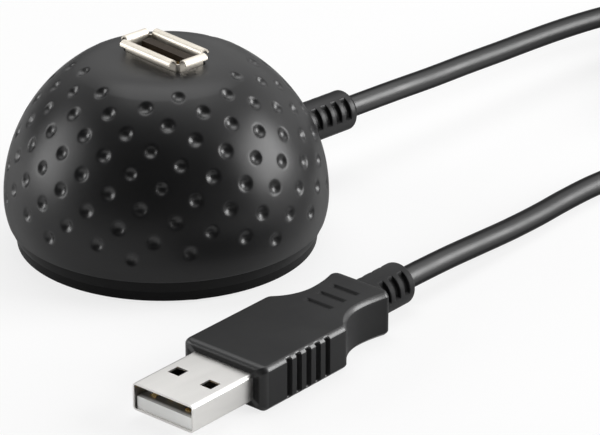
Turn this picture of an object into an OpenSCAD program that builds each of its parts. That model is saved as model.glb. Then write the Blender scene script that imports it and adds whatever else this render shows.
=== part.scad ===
// Desktop USB extension dock: a weighted, dimpled dome with a type A socket in its flat top,
// a cable out of its back and a type A plug on the cable's end. Millimetres, +Z up, origin on
// the table under the middle of the dome, +X along the socket's mouth, +Y out along the cable.

/* [Dome] */
// Diameter of the dome at its widest line
dome_d = 53; // [50:0.5:58]
// Height of the widest line above the table
dome_mid_z = 8.2; // [7.6:0.1:9]
// Radius of the turned-in wall below the widest line
dome_low_r = 12.5; // [11.5:0.1:13]
// Thickness of the dome's wall
dome_wall = 2.2; // [1.8:0.1:2.6]
// Height of the crown that is cut off to make the flat top
crown_cut = 2.7; // [2.4:0.1:3.2]
// Width of the gap round the socket in the flat top
slot_gap = 0.25; // [0.15:0.05:0.4]
// Height of the thick rim above the spigot
rim_land = 0.7; // [0.5:0.1:0.9]

/* [Dimples] */
// Diameter of a dimple at the surface
dimple_d = 2.4; // [2:0.1:3]
// Depth of a dimple
dimple_depth = 0.5; // [0.3:0.05:0.7]
// Number of dimples that the whole ball would carry
dimple_count = 360; // [280:10:400]
// Height of the lowest dimples above the widest line
dimple_low_z = 0.2; // [0:0.1:2]
// Turn of the first dimple of the spiral
dimple_seam = -53; // [-90:1:90]
// Plain band between the dimples and the edge of the flat top
dimple_edge = 0.3; // [0.2:0.05:0.6]

/* [Base] */
// Height of the base's rim, where the dome stands on it
base_h = 4.2; // [3.8:0.1:4.4]
// Step from the dome's lower edge in to the base's rim
base_step = 0.12; // [0.05:0.01:0.2]
// Height of the straight foot under the base's curved rim
plinth_h = 2.1; // [1.6:0.1:2.6]
// Inward taper of the straight foot down to the table
base_draft = 0.2; // [0.1:0.05:0.4]
// Width of the seat of the dome's edge on the base
base_seat = 1.9; // [1.6:0.1:2.2]
// Height of the base's spigot inside the dome
spigot_h = 1; // [0.8:0.1:1.1]
// Diameter of the steel ballast disc
ballast_d = 28; // [22:0.5:29]
// Height of the steel ballast disc
ballast_h = 4.5; // [3:0.5:4.5]
// Height of the rib that locates the ballast
ballast_rib_h = 1.5; // [1:0.1:2.5]
// Thickness of the rib that locates the ballast
ballast_rib_t = 1.2; // [1:0.1:1.4]
// Diameter of a rubber foot
foot_d = 8; // [6:0.5:9]
// Thickness of a rubber foot
foot_h = 1.2; // [1:0.1:1.3]
// Height that the feet stand out of the base
foot_proud = 0.5; // [0.3:0.1:0.6]
// Step of the feet in from the ring of the base screws
foot_inset = 1; // [0.8:0.1:1.4]
// Clearance of pieces that drop into each other
fit_gap = 0.1; // [0.05:0.01:0.15]

/* [Fasteners] */
// Shank diameter of a base screw
base_screw_d = 2.2; // [2:0.1:2.6]
// Head diameter of a base screw
base_screw_head_d = 4.2; // [3.8:0.1:4.6]
// Length of a base screw
base_screw_l = 10; // [8:0.5:12]
// Shank diameter of a board screw
board_screw_d = 1.7; // [1.4:0.1:2]
// Head diameter of a board screw
board_screw_head_d = 3.4; // [3:0.1:3.8]
// Head height of a board screw
board_screw_head_h = 1.2; // [0.9:0.1:1.4]
// Length of a board screw's shank
board_screw_l = 6; // [5:0.5:8]
// Wall of the bosses that the screws bite into
boss_wall = 1.25; // [1:0.05:1.4]
// Clearance of a boss from the part beside it
boss_gap = 0.7; // [0.5:0.05:0.9]
// Width of the slots of a screw's cross recess
recess_w = 0.6; // [0.4:0.05:0.7]
// Depth of a screw's cross recess
recess_depth = 0.6; // [0.4:0.05:0.7]

/* [Socket] */
// Inside width of the socket
socket_w = 12.5; // [12.4:0.05:12.7]
// Inside height of the socket
socket_t = 5.12; // [5.05:0.01:5.3]
// Sheet thickness of the socket's shell
socket_wall = 0.3; // [0.25:0.05:0.4]
// Length of the socket from the board to its mouth
socket_l = 14; // [13.4:0.1:15]
// Height of the mouth above the dome's flat top
socket_proud = 2.1; // [1.6:0.1:2.4]
// Outer radius of the rolled lips
lip_r = 0.85; // [0.6:0.05:1]
// Angle that the lips are rolled through
lip_roll = 180; // [140:5:200]
// Depth that a lip, a spring finger or a tab runs into the shell's wall
strip_root = 0.5; // [0.3:0.1:0.8]
// Width of the tongue
tongue_w = 11.1; // [10.6:0.1:11.2]
// Thickness of the tongue
tongue_t = 1.84; // [1.7:0.02:1.9]
// Distance from the mouth down to the tongue's end
tongue_recess = 1; // [0.6:0.1:1.6]
// Height of the insulator's block under the tongue
block_h = 1.9; // [1.6:0.1:2.4]
// Width of a spring finger in the shell
finger_w = 1.8; // [1.4:0.1:2.2]
// Inward lean of a spring finger
finger_lean = 0.4; // [0.2:0.05:0.45]
// Height of a spring finger's root above the board
finger_root = 4; // [3.5:0.1:5]
// Distance of a spring finger's window below the lips
finger_land = 1.6; // [1.2:0.1:2]
// Clearance of a spring finger in its window at its sides
finger_slit = 0.3; // [0.2:0.05:0.4]
// Clearance of a spring finger in its window at its tip
finger_tip_gap = 1; // [0.6:0.1:1.4]
// Width of a contact
contact_w = 1; // [0.8:0.05:1.1]
// Thickness of a contact
contact_t = 0.2; // [0.15:0.01:0.25]
// Distance of a contact's end below the tongue's end
contact_land = 1; // [0.8:0.1:1.4]
// Step of the tongue's contact face off the socket's middle
tongue_y = 0.05; // [0:0.01:0.1]
// Length of a soldered end under the board
solder_l = 0.8; // [0.5:0.1:1]
// Width of a soldered tab of the shell
tab_w = 2; // [1.6:0.1:2.4]

/* [Board] */
// Length of the board along the socket
board_w = 25; // [24:0.5:27]
// Width of the board
board_d = 13; // [12:0.5:15]
// Thickness of the board
board_t = 1.6; // [1.2:0.1:1.6]
// Diameter of a core's insulation
wire_d = 0.95; // [0.8:0.05:1.1]
// Distance of a core from the cable's axis
wire_lay = 0.72; // [0.7:0.01:0.75]
// Spacing of the cores' pads on the board
wire_pad_pitch = 2; // [1.6:0.1:2.2]
// Distance of the cores' pads from the board's edge
wire_pad_inset = 2; // [1.5:0.1:2.5]
// Straight length of a core out of the jacket and up to its pad
wire_stub = 1.2; // [1:0.1:1.4]

/* [Strain relief] */
// Height of the cable's axis where it leaves the dome
relief_z = 11; // [10.5:0.1:13]
// Diameter of the sleeve
relief_d = 7; // [6.4:0.1:7.6]
// Length of the sleeve outside the dome
relief_l = 14; // [12:0.5:16]
// Number of grooves round the sleeve
relief_grooves = 4; // [2:1:4]
// Spacing of the grooves
relief_pitch = 2.2; // [2:0.1:2.4]
// Depth of the grooves
relief_groove_depth = 0.7; // [0.4:0.05:0.9]
// Diameter of the collar against the dome
relief_collar_d = 8.4; // [8:0.1:9]
// Length of the collar against the dome
relief_collar_l = 1.2; // [0.8:0.1:2]
// Diameter of the flange inside the dome
relief_flange_d = 10; // [9.6:0.1:11]
// Thickness of the flange inside the dome
relief_flange_t = 1.6; // [1.2:0.1:2]
// Step of the neck in the dome's wall over the sleeve
relief_neck_step = 0.15; // [0.1:0.05:0.2]
// Plain band between the collar and the dimples
relief_clear = 0.5; // [0.3:0.1:1]
// Plain length at the end of a ribbed sleeve
sleeve_land = 1.2; // [1:0.1:1.4]
// Bevel at the end of a ribbed sleeve
sleeve_bevel = 0.8; // [0.6:0.1:0.9]
// Length of the cable's jacket inside the flange
tail_free_l = 3.5; // [3:0.1:4]

/* [Cable] */
// Diameter of the cable's jacket
cable_d = 3.7; // [3.4:0.1:3.8]
// Turns of the coil, in two layers
coil_turns = 8.5; // [6.5:1:8.5]
// Radius of the coil's outermost turn
coil_r = 32.6; // [32:0.1:34]
// Spacing of neighbouring turns and of the two layers
coil_pitch = 4.2; // [4.15:0.05:4.4]
// Width of the strap round the coil
tie_w = 8; // [6:0.5:12]
// Thickness of the strap
tie_t = 0.8; // [0.6:0.1:0.85]
// Clearance of the strap round the coil
tie_gap = 0.15; // [0.1:0.01:0.2]
// Clearance of the strap above the table
tie_lift = 0.05; // [0.03:0.01:0.1]
// Place of the coil's middle along the socket's direction
coil_x = 32; // [31:0.5:34]
// Place of the coil's middle along the cable's direction
coil_y = 131; // [130:0.5:134]

/* [Plug] */
// Place of the plug's tip along the socket's direction
plug_x = 49.5; // [46:0.5:54]
// Place of the plug's tip along the cable's direction
plug_y = -44; // [-48:0.5:-40]
// Turn of the plug from the cable's direction
plug_turn = 6.5; // [4:0.5:9]
// Width of the plug's shell
plug_w = 12; // [11.9:0.05:12.1]
// Height of the plug's shell
plug_t = 4.5; // [4.4:0.05:4.6]
// Sheet thickness of the plug's shell
plug_wall = 0.3; // [0.25:0.05:0.4]
// Length of shell in front of the grip
plug_free_l = 13.3; // [12.5:0.05:13.6]
// Length of shell held in the grip
plug_held_l = 5; // [4:0.5:6]
// Thickness of the plug's insulator
plug_insulator_t = 2; // [1.8:0.05:2.2]
// Depth of the insulator's front face behind the shell's edge
plug_insulator_recess = 0.3; // [0.2:0.1:0.8]
// Length of the outer contacts
plug_contact_l = 7.4; // [6.8:0.1:8]
// Distance of the outer contacts behind the plug's tip
plug_contact_y = 1.6; // [1.2:0.1:2]
// Distance of the inner contacts behind the outer ones
plug_contact_step = 1; // [0.8:0.1:1.2]
// Width and length of a window in the shell
window_s = 2.2; // [1.8:0.1:2.5]
// Distance of a window's middle from the shell's centre line
window_x = 3.2; // [2.6:0.1:3.6]
// Distance of a window's middle from the plug's tip
window_y = 6.9; // [5.2:0.1:7.5]

/* [Grip] */
// Width of the grip's front block
grip_w = 16.4; // [15:0.1:17]
// Thickness of the grip
grip_t = 7.4; // [7.2:0.1:8.2]
// Length of the grip's front block
grip_block_l = 19.8; // [19:0.1:21]
// Length of the waist and the shoulder behind the block
grip_waist_l = 12.9; // [12.4:0.1:14]
// Width of the grip at its waist
grip_waist_w = 10.2; // [9:0.1:10.6]
// Distance of the narrowest place behind the block
grip_waist_at = 6.2; // [5.6:0.1:6.8]
// Radius of the hollow between the waist and the shoulder
grip_waist_r = 20; // [18:1:26]
// Radius of the grip's corners seen from above
grip_corner_r = 1.2; // [0.8:0.1:1.4]
// Bevel round the grip's top and bottom
grip_bevel = 0.7; // [0.4:0.05:0.9]
// Length of the ribbed tail
grip_tail_l = 9.5; // [9:0.1:11]
// Length of the tail's root inside the shoulder
grip_tail_root = 1; // [0.6:0.1:2]
// Diameter of the ribbed tail
grip_tail_d = 7; // [6.4:0.1:7.2]
// Number of grooves round the tail
grip_tail_grooves = 3; // [2:1:3]
// Spacing of the grooves round the tail
grip_tail_pitch = 2.3; // [2:0.1:2.4]
// Number of grooves down each side of the block
grip_side_grooves = 5; // [3:1:6]
// Spacing of the side grooves
grip_side_pitch = 2.2; // [2:0.01:2.3]
// Distance of the first side groove behind the block's front
grip_side_start = 5.8; // [4:0.1:7]
// Width of a groove in the grip
grip_groove_w = 0.9; // [0.6:0.05:1.1]
// Depth of a side groove
grip_groove_depth = 0.7; // [0.4:0.05:0.9]
// Number of grooves across the waist
grip_cross_grooves = 3; // [2:1:4]
// Spacing of the grooves across the waist
grip_cross_pitch = 3.1; // [2.6:0.1:3.2]
// Length of a groove across the waist
grip_cross_l = 4.8; // [3:0.1:6]
// Depth of a groove across the waist
grip_cross_depth = 0.4; // [0.2:0.05:0.6]
// Step of these grooves forward of the waist's middle
grip_cross_shift = 1; // [0:0.1:1.4]
// Length of the inner mould behind the shell
inner_mould_l = 11; // [9:0.5:12]
// Length of the cable's jacket held in the inner mould
jacket_held_l = 4; // [3:0.5:5]

/* [Hidden] */
$fn = 64;

// Overrun of a cutting shape past the face that it opens
cut = 1;

// Dome
dome_r = dome_d / 2;
dome_top_z = dome_mid_z + dome_r - crown_cut;
ceiling_z = dome_top_z - dome_wall;
cavity_r = dome_r - dome_wall;
rim_r = dome_r - dome_low_r + sqrt(pow(dome_low_r, 2) - pow(dome_mid_z - base_h, 2));

// Base
base_r = rim_r - base_step;
plinth_r = dome_r - dome_low_r + sqrt(pow(dome_low_r - base_step, 2) - pow(dome_mid_z - plinth_h, 2));
rim_bore_r = base_r - base_seat;
spigot_r = rim_bore_r - fit_gap;
base_low_z = foot_proud;
base_top_z = base_h + spigot_h;
rim_top_z = base_top_z + rim_land;
base_boss_r = base_screw_d / 2 + boss_wall;
base_screw_ring = spigot_r - base_boss_r - boss_gap;
base_screw_turns = [30, 150, 270];
foot_turns = [90, 210, 330];
foot_ring = base_screw_ring - foot_inset;
head_cone_h = (base_screw_head_d - base_screw_d) / 2;
recess_share = 0.6;

// Dimples
dimple_ball_r = (pow(dimple_d / 2, 2) + pow(dimple_depth, 2)) / (2 * dimple_depth);
dimple_reach = dome_r + dimple_ball_r - dimple_depth;
dimple_high_z = dome_r * sin(asin((dome_top_z - dome_mid_z) / dome_r)
                             - (dimple_d / 2 + dimple_edge) / dome_r * 180 / PI);
golden_angle = 180 * (3 - sqrt(5));

// Socket and board
mouth_z = dome_top_z + socket_proud;
board_top_z = mouth_z - socket_l;
board_low_z = board_top_z - board_t;
shell_w = socket_w + 2 * socket_wall;
shell_t = socket_t + 2 * socket_wall;
shell_corner_r = 2 * socket_wall;
lip_z = mouth_z - lip_r;
tongue_top_z = mouth_z - tongue_recess;
finger_low_z = board_top_z + finger_root;
finger_high_z = lip_z - finger_land;
finger_tip_z = finger_high_z - finger_tip_gap;
finger_x = socket_w / 4;
contact_top_z = tongue_top_z - contact_land;
contact_xs = [-3.5, -1, 1, 3.5];
board_boss_r = board_screw_d / 2 + boss_wall;
board_screw_x = shell_w / 2 + slot_gap + board_boss_r + boss_gap;

// Strain relief, where the dome's two faces cross the height of the cable
relief_out_y = sqrt(pow(dome_r, 2) - pow(relief_z - dome_mid_z, 2));
relief_in_y = sqrt(pow(cavity_r, 2) - pow(relief_z - dome_mid_z, 2));
relief_end_y = relief_out_y + relief_l;
relief_neck_r = relief_d / 2 + relief_neck_step;
relief_clear_r = relief_collar_d / 2 + dimple_d / 2 + relief_clear;
tail_end_y = relief_in_y - relief_flange_t - tail_free_l;

// Wires: where the cores meet the board
wire_pad_y = board_d / 2 - wire_pad_inset;

// Plug, along its own +Y from the tip
grip_y = plug_free_l;
block_y = grip_y + grip_block_l;
shoulder_y = block_y + grip_waist_l;
tail_y = shoulder_y + grip_tail_l;
shell_end_y = grip_y + plug_held_l;
mould_end_y = shell_end_y + inner_mould_l;
plug_axis_z = grip_t / 2;
plug_corner_r = 2 * plug_wall;
plug_inner_w = plug_w - 2 * plug_wall;
plug_inner_t = plug_t - 2 * plug_wall;
plug_insulator_low = -plug_inner_t / 2;
plug_dir = [-sin(plug_turn), cos(plug_turn), 0];
plug_end = [plug_x, plug_y, plug_axis_z] + tail_y * plug_dir;

// Coil: it winds inward on top and outward below, with the strap under it
coil_steps = 24;
coil_low_z = tie_t + tie_gap + tie_lift + cable_d / 2;
coil_high_z = coil_low_z + coil_pitch;

// Cable routes
dock_route = [[0, relief_end_y, relief_z], [0, relief_end_y + cable_d, relief_z],
              [-0.1, 52, 10.9], [-0.4, 61, 10.6], [-0.8, 70, 10.4], [-1.2, 79, 10.1],
              [-1.7, 88, 9.8], [-2.1, 97, 9.4], [-2.3, 106, 8.8], [-1.9, 114, 8.1],
              [coil_x - coil_r - 0.5, 121, 7.4], [coil_x - coil_r, coil_y - cable_d, coil_high_z]];
plug_route = [plug_end, plug_end + cable_d * plug_dir,
              [41.9, 23, 3.5], [40.9, 31, 3], [39.9, 39, 2.5], [38.8, 47, 2.2], [37.6, 55, 2.1],
              [36.8, 63, 2], [37.1, 71, 2], [38.9, 79, 2], [42.3, 87, 2], [46.9, 94.5, 2],
              [52.2, 101.5, 2.1], [57.4, 108.5, 2.3], [61.6, 115, 2.5],
              [coil_x + coil_r - 0.5, 121.5, 2.7], [coil_x + coil_r, coil_y - cable_d, coil_low_z]];

function unit(v) = v / norm(v);
function arc(c, r, a0, a1, steps) =
    [for (i = [0 : steps]) c + r * [cos(a0 + (a1 - a0) * i / steps), sin(a0 + (a1 - a0) * i / steps)]];
function after_first(p) = [for (i = [1 : len(p) - 1]) p[i]];
function step_dir(p, i) = unit(p[min(i + 1, len(p) - 1)] - p[max(i - 1, 0)]);

// Ring of points round one point of a path, in the plane square to the path
function ring_at(p, i, r, sides, side_hint) =
    let (along = step_dir(p, i), across = unit(cross(along, side_hint)), over = cross(across, along))
    [for (k = [0 : sides - 1]) p[i] + r * (cos(360 * (k + 0.5) / sides) * across
                                           + sin(360 * (k + 0.5) / sides) * over)];

function tube_faces(rings, sides) = concat(
    [for (k = [1 : sides - 2]) [0, k, k + 1]],
    [for (k = [1 : sides - 2]) [(rings - 1) * sides, (rings - 1) * sides + k + 1, (rings - 1) * sides + k]],
    [for (i = [0 : rings - 2], k = [0 : sides - 1])
        [i * sides + k, (i + 1) * sides + k, i * sides + (k + 1) % sides]],
    [for (i = [0 : rings - 2], k = [0 : sides - 1])
        [i * sides + (k + 1) % sides, (i + 1) * sides + k, (i + 1) * sides + (k + 1) % sides]]);

module tube(path, d, sides, side_hint = [0, 0, 1]) {
    polyhedron([for (i = [0 : len(path) - 1]) each ring_at(path, i, d / 2, sides, side_hint)],
               tube_faces(len(path), sides));
}

// Coil centre line: steady inward spiral, then outward, changing layer in the half turn between
function ease(t) = let (u = min(max(t, 0), 1)) u * u * (3 - 2 * u);
function coil_radius(turn) = coil_r - coil_pitch * (coil_turns / 2 - abs(turn - coil_turns / 2));
function coil_point(turn) = [
    coil_x + coil_radius(turn) * cos(180 - 360 * turn),
    coil_y + coil_radius(turn) * sin(180 - 360 * turn),
    coil_high_z - coil_pitch * ease(2 * (turn - coil_turns / 2) + 0.5)];
coil_path = concat(
    [[coil_x - coil_r, coil_y - cable_d, coil_high_z]],
    [for (i = [0 : coil_turns * coil_steps]) coil_point(i / coil_steps)],
    [[coil_x + coil_r, coil_y - cable_d, coil_low_z]]);

module rounded_rect(w, t, r) {
    square([w - 2 * r, t], center = true);
    square([w, t - 2 * r], center = true);
    for (x = [-1, 1], y = [-1, 1])
        translate([x * (w / 2 - r), y * (t / 2 - r)]) circle(r);
}

module slab(z0, z1, r) {
    translate([0, 0, z0]) cylinder(h = z1 - z0, r = r);
}

module at_turns(turns, ring) {
    for (a = turns) rotate([0, 0, a]) translate([ring, 0, 0]) children();
}

// Ribbed sleeve along +Y from y0: a revolved outline with square grooves and a bevelled end
module ribbed_sleeve(y0, l, d, grooves, pitch, depth) {
    groove_w = pitch / 2;
    first = l - sleeve_bevel - sleeve_land - grooves * pitch + groove_w;
    rotate([-90, 0, 0]) translate([0, 0, y0]) rotate_extrude() polygon(concat(
        [[0, 0], [d / 2, 0]],
        [for (i = [0 : grooves - 1]) each
            let (a = first + i * pitch)
            [[d / 2, a], [d / 2 - depth, a], [d / 2 - depth, a + groove_w], [d / 2, a + groove_w]]],
        [[d / 2, l - sleeve_bevel], [d / 2 - sleeve_bevel, l], [0, l]]));
}

// Turned-in ring below the widest line, between two heights and set in by a step
module turned_in(z0, z1, step) {
    intersection() {
        union() {
            translate([0, 0, dome_mid_z]) rotate_extrude() intersection() {
                translate([dome_r - dome_low_r, 0]) circle(dome_low_r - step);
                translate([0, -dome_low_r]) square([dome_d, 2 * dome_low_r]);
            }
            slab(z0, z1, dome_r - dome_low_r);
        }
        slab(z0, z1, dome_d);
    }
}

// Dome: a true ball above its widest line, turned in below it, cut flat on top
module dome_outer() {
    intersection() {
        translate([0, 0, dome_mid_z]) sphere(dome_r);
        slab(dome_mid_z, dome_top_z, dome_d);
    }
    turned_in(base_h, dome_mid_z, 0);
}

module dome_cavity() {
    intersection() {
        translate([0, 0, dome_mid_z]) sphere(cavity_r);
        slab(rim_top_z, ceiling_z, dome_d);
    }
    slab(base_h - cut, rim_top_z + cut, rim_bore_r);
}

module dome_bosses() {
    intersection() {
        translate([0, 0, dome_mid_z]) sphere(cavity_r + dome_wall / 2);
        union() {
            at_turns(base_screw_turns, base_screw_ring)
                slab(base_top_z + fit_gap, dome_top_z, base_boss_r);
            for (x = [-1, 1]) translate([x * board_screw_x, 0, 0])
                slab(board_top_z, dome_top_z - dome_wall / 2, board_boss_r);
        }
    }
}

// Dimples along one spiral up the ball, in even steps of height and golden-angle turns
module dimples() {
    relief_at = [0, relief_out_y, relief_z - dome_mid_z];
    step = dome_d / dimple_count;
    for (k = [0 : floor((dimple_high_z - dimple_low_z) / step)]) {
        turn = dimple_seam + k * golden_angle;
        z = dimple_low_z + k * step;
        r = sqrt(pow(dome_r, 2) - pow(z, 2));
        at = [r * cos(turn), r * sin(turn), z];
        if (norm(at - relief_at) > relief_clear_r)
            translate([0, 0, dome_mid_z] + at * dimple_reach / dome_r)
                sphere(dimple_ball_r, $fn = 32);
    }
}

module dome_shell() {
    color("#2b2b2d") difference() {
        union() {
            difference() {
                dome_outer();
                dome_cavity();
            }
            dome_bosses();
        }
        dimples();
        translate([0, 0, board_top_z]) linear_extrude(socket_l)
            rounded_rect(shell_w + 2 * slot_gap, shell_t + 2 * slot_gap, shell_corner_r + slot_gap);
        translate([0, 0, relief_z]) rotate([-90, 0, 0])
            cylinder(h = relief_end_y, r = relief_neck_r + fit_gap);
        at_turns(base_screw_turns, base_screw_ring)
            slab(0, base_low_z + base_screw_l + cut, base_screw_d / 2 + fit_gap / 2);
        for (x = [-1, 1]) translate([x * board_screw_x, 0, 0])
            slab(board_top_z - cut, board_low_z + board_screw_l + cut, board_screw_d / 2 + fit_gap / 2);
    }
}

module base_plate() {
    color("#1c1c1e") difference() {
        union() {
            translate([0, 0, base_low_z])
                cylinder(h = plinth_h - base_low_z, r1 = plinth_r - base_draft, r2 = plinth_r);
            turned_in(plinth_h, base_h, base_step);
            slab(base_h, base_top_z, spigot_r);
            slab(base_top_z, base_top_z + ballast_rib_h, ballast_d / 2 + fit_gap + ballast_rib_t);
        }
        slab(base_top_z, base_top_z + ballast_rib_h + cut, ballast_d / 2 + fit_gap);
        at_turns(base_screw_turns, base_screw_ring) {
            slab(0, base_top_z + cut, base_screw_d / 2 + fit_gap);
            translate([0, 0, base_low_z])
                cylinder(h = head_cone_h, r1 = base_screw_head_d / 2 + fit_gap,
                         r2 = base_screw_d / 2 + fit_gap);
        }
        at_turns(foot_turns, foot_ring)
            slab(0, foot_h, foot_d / 2 + fit_gap);
    }
}

// Cross recess in a screw's head, driven from below
module cross_recess(head_d) {
    for (a = [0, 90]) rotate([0, 0, a])
        cube([head_d * recess_share, recess_w, 2 * recess_depth], center = true);
}

module base_screws() {
    color("#8d8f92") at_turns(base_screw_turns, base_screw_ring) translate([0, 0, base_low_z])
        difference() {
            union() {
                cylinder(h = head_cone_h, r1 = base_screw_head_d / 2, r2 = base_screw_d / 2);
                cylinder(h = base_screw_l, d = base_screw_d);
            }
            cross_recess(base_screw_head_d);
        }
}

module rubber_feet() {
    color("#171717") at_turns(foot_turns, foot_ring) cylinder(h = foot_h, d = foot_d);
}

module ballast_weight() {
    color("#a4a6a8") slab(base_top_z, base_top_z + ballast_h, ballast_d / 2);
}

// One rolled lip: the shell's wall curled over outward, drawn along +X
module lip(l) {
    middle = [lip_r - socket_wall, 0];
    rotate([90, 0, 90]) linear_extrude(l, center = true)
        polygon(concat(arc(middle, lip_r, 180, 180 - lip_roll, 10),
                       arc(middle, lip_r - socket_wall, 180 - lip_roll, 180, 10),
                       [[0, -strip_root], [-socket_wall, -strip_root]]));
}

// One spring finger: a strip bent inward out of its window, drawn along +X
module finger() {
    rotate([90, 0, 90]) linear_extrude(finger_w, center = true)
        polygon([[-socket_wall, finger_low_z], [-socket_wall, finger_low_z - strip_root],
                 [0, finger_low_z - strip_root], [0, finger_low_z],
                 [-finger_lean, finger_tip_z], [-finger_lean - socket_wall, finger_tip_z]]);
}

module socket_shell() {
    color("#d9d7ce") {
        difference() {
            translate([0, 0, board_top_z]) linear_extrude(lip_z - board_top_z) difference() {
                rounded_rect(shell_w, shell_t, shell_corner_r);
                rounded_rect(socket_w, socket_t, shell_corner_r - socket_wall);
            }
            for (x = [-1, 1]) translate([x * finger_x, 0, (finger_low_z + finger_high_z) / 2])
                cube([finger_w + 2 * finger_slit, shell_t + cut, finger_high_z - finger_low_z],
                     center = true);
        }
        for (a = [0, 180]) rotate([0, 0, a]) {
            translate([0, shell_t / 2, lip_z]) lip(socket_w - 2 * socket_wall);
            translate([shell_w / 2, 0, lip_z]) rotate([0, 0, -90]) lip(socket_t - 2 * socket_wall);
            for (x = [-1, 1]) translate([x * finger_x, shell_t / 2, 0]) finger();
            translate([socket_w / 2, -tab_w / 2, board_low_z - solder_l])
                cube([socket_wall, tab_w, board_t + solder_l + strip_root]);
        }
    }
}

module socket_insulator() {
    color("#1a1a1a") difference() {
        union() {
            translate([0, 0, board_top_z]) linear_extrude(block_h)
                rounded_rect(socket_w - fit_gap, socket_t - fit_gap, socket_wall);
            translate([-tongue_w / 2, tongue_y, board_top_z])
                cube([tongue_w, tongue_t, tongue_top_z - board_top_z]);
        }
        contact_bars(board_top_z - cut, contact_top_z);
    }
}

module contact_bars(z0, z1, gap = 0) {
    for (x = contact_xs)
        translate([x - contact_w / 2 - gap, tongue_y - contact_t - gap, z0])
            cube([contact_w + 2 * gap, contact_t + 2 * gap, z1 - z0]);
}

module socket_contacts() {
    color("#c9a24a") contact_bars(board_low_z - solder_l, contact_top_z);
}

module socket_board() {
    color("#1f5a34") difference() {
        translate([-board_w / 2, -board_d / 2, board_low_z]) cube([board_w, board_d, board_t]);
        contact_bars(board_low_z - cut, board_top_z + cut, fit_gap);
        for (x = [-1, 1]) {
            translate([x * board_screw_x, 0, 0])
                slab(board_low_z - cut, board_top_z + cut, board_screw_d / 2 + fit_gap);
            translate([x * (shell_w - socket_wall) / 2, 0, board_low_z + board_t / 2])
                cube([socket_wall + 2 * fit_gap, tab_w + 2 * fit_gap, board_t + cut], center = true);
        }
    }
}

module board_screws() {
    color("#8d8f92") for (x = [-1, 1]) translate([x * board_screw_x, 0, board_low_z]) difference() {
        union() {
            cylinder(h = board_screw_l, d = board_screw_d);
            translate([0, 0, -board_screw_head_h]) cylinder(h = board_screw_head_h, d = board_screw_head_d);
        }
        translate([0, 0, -board_screw_head_h]) cross_recess(board_screw_head_d);
    }
}

// Sleeve with a collar and a flange that follow the dome's two faces and hold its wall between them
module strain_relief() {
    color("#1d1d1f") difference() {
        union() {
            translate([0, 0, relief_z]) ribbed_sleeve(relief_out_y, relief_l, relief_d,
                relief_grooves, relief_pitch, relief_groove_depth);
            difference() {
                translate([0, 0, relief_z]) rotate([-90, 0, 0])
                    cylinder(h = relief_out_y + relief_collar_l, d = relief_collar_d);
                translate([0, 0, dome_mid_z]) sphere(dome_r + fit_gap / 2);
            }
            translate([0, relief_in_y - relief_flange_t, relief_z]) rotate([-90, 0, 0])
                cylinder(h = relief_out_y - relief_in_y + relief_flange_t + relief_collar_l / 2,
                         r = relief_neck_r);
            intersection() {
                translate([0, relief_in_y - relief_flange_t, relief_z]) rotate([-90, 0, 0])
                    cylinder(h = relief_flange_t, d = relief_flange_d);
                translate([0, 0, dome_mid_z]) sphere(cavity_r - fit_gap / 2);
            }
        }
        translate([0, 0, relief_z]) rotate([-90, 0, 0]) cylinder(h = relief_end_y + cut, d = cable_d);
    }
}

module cable_tail() {
    color("#161617") translate([0, tail_end_y, relief_z]) rotate([-90, 0, 0])
        cylinder(h = relief_end_y - tail_end_y, d = cable_d);
}

// One core: out of the jacket, along under the board and up to its pad
module wire(column, row, pad) {
    x0 = column * wire_lay;
    z0 = relief_z + row * wire_lay;
    pad_x = pad * wire_pad_pitch;
    tube([[x0, tail_end_y, z0], [x0, tail_end_y - wire_stub, z0],
          [(x0 + pad_x) / 2, (tail_end_y + wire_pad_y + wire_stub) / 2 + wire_d, z0 + wire_d / 2],
          [pad_x, wire_pad_y + 2 * wire_stub, (z0 + board_low_z) / 2 - wire_d / 2],
          [pad_x, wire_pad_y + wire_stub / 4, board_low_z - 1.5 * wire_stub],
          [pad_x, wire_pad_y, board_low_z - 0.8 * wire_stub], [pad_x, wire_pad_y, board_low_z]],
         wire_d, 8, [1, 0, 0]);
}

module wire_red() {
    color("#b3261e") wire(-1, 1, -1.5);
}

module wire_white() {
    color("#e8e6e0") wire(-1, -1, -0.5);
}

module wire_green() {
    color("#2e7d32") wire(1, -1, 0.5);
}

module wire_black() {
    color("#202020") wire(1, 1, 1.5);
}

module cable_dock_run() {
    color("#161617") tube(dock_route, cable_d, 8);
}

module cable_coil() {
    color("#161617") tube(coil_path, cable_d, 6);
}

module cable_plug_run() {
    color("#161617") tube(plug_route, cable_d, 8);
}

// Strap round the bundle on the side that faces the dome
module coil_tie() {
    inner_r = coil_radius(coil_turns / 2) + coil_pitch / 2 - cable_d / 2 - tie_gap;
    outer_r = coil_r - 0.75 * coil_pitch + cable_d / 2 + tie_gap;
    low_z = coil_low_z - cable_d / 2 - tie_gap;
    high_z = coil_high_z + cable_d / 2 + tie_gap;
    corner_r = 1.5;
    color("#101011") translate([coil_x, coil_y - (inner_r + outer_r) / 2, (low_z + high_z) / 2])
        rotate([90, 0, 90]) linear_extrude(tie_w, center = true) difference() {
            rounded_rect(outer_r - inner_r + 2 * tie_t, high_z - low_z + 2 * tie_t, corner_r + tie_t);
            rounded_rect(outer_r - inner_r, high_z - low_z, corner_r);
        }
}

module plug_place() {
    translate([plug_x, plug_y, plug_axis_z]) rotate([0, 0, plug_turn]) children();
}

// Prism along the plug from y0 to y1, with its outline across the plug
module along_plug(y0, y1) {
    translate([0, y1, 0]) rotate([90, 0, 0]) linear_extrude(y1 - y0) children();
}

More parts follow.
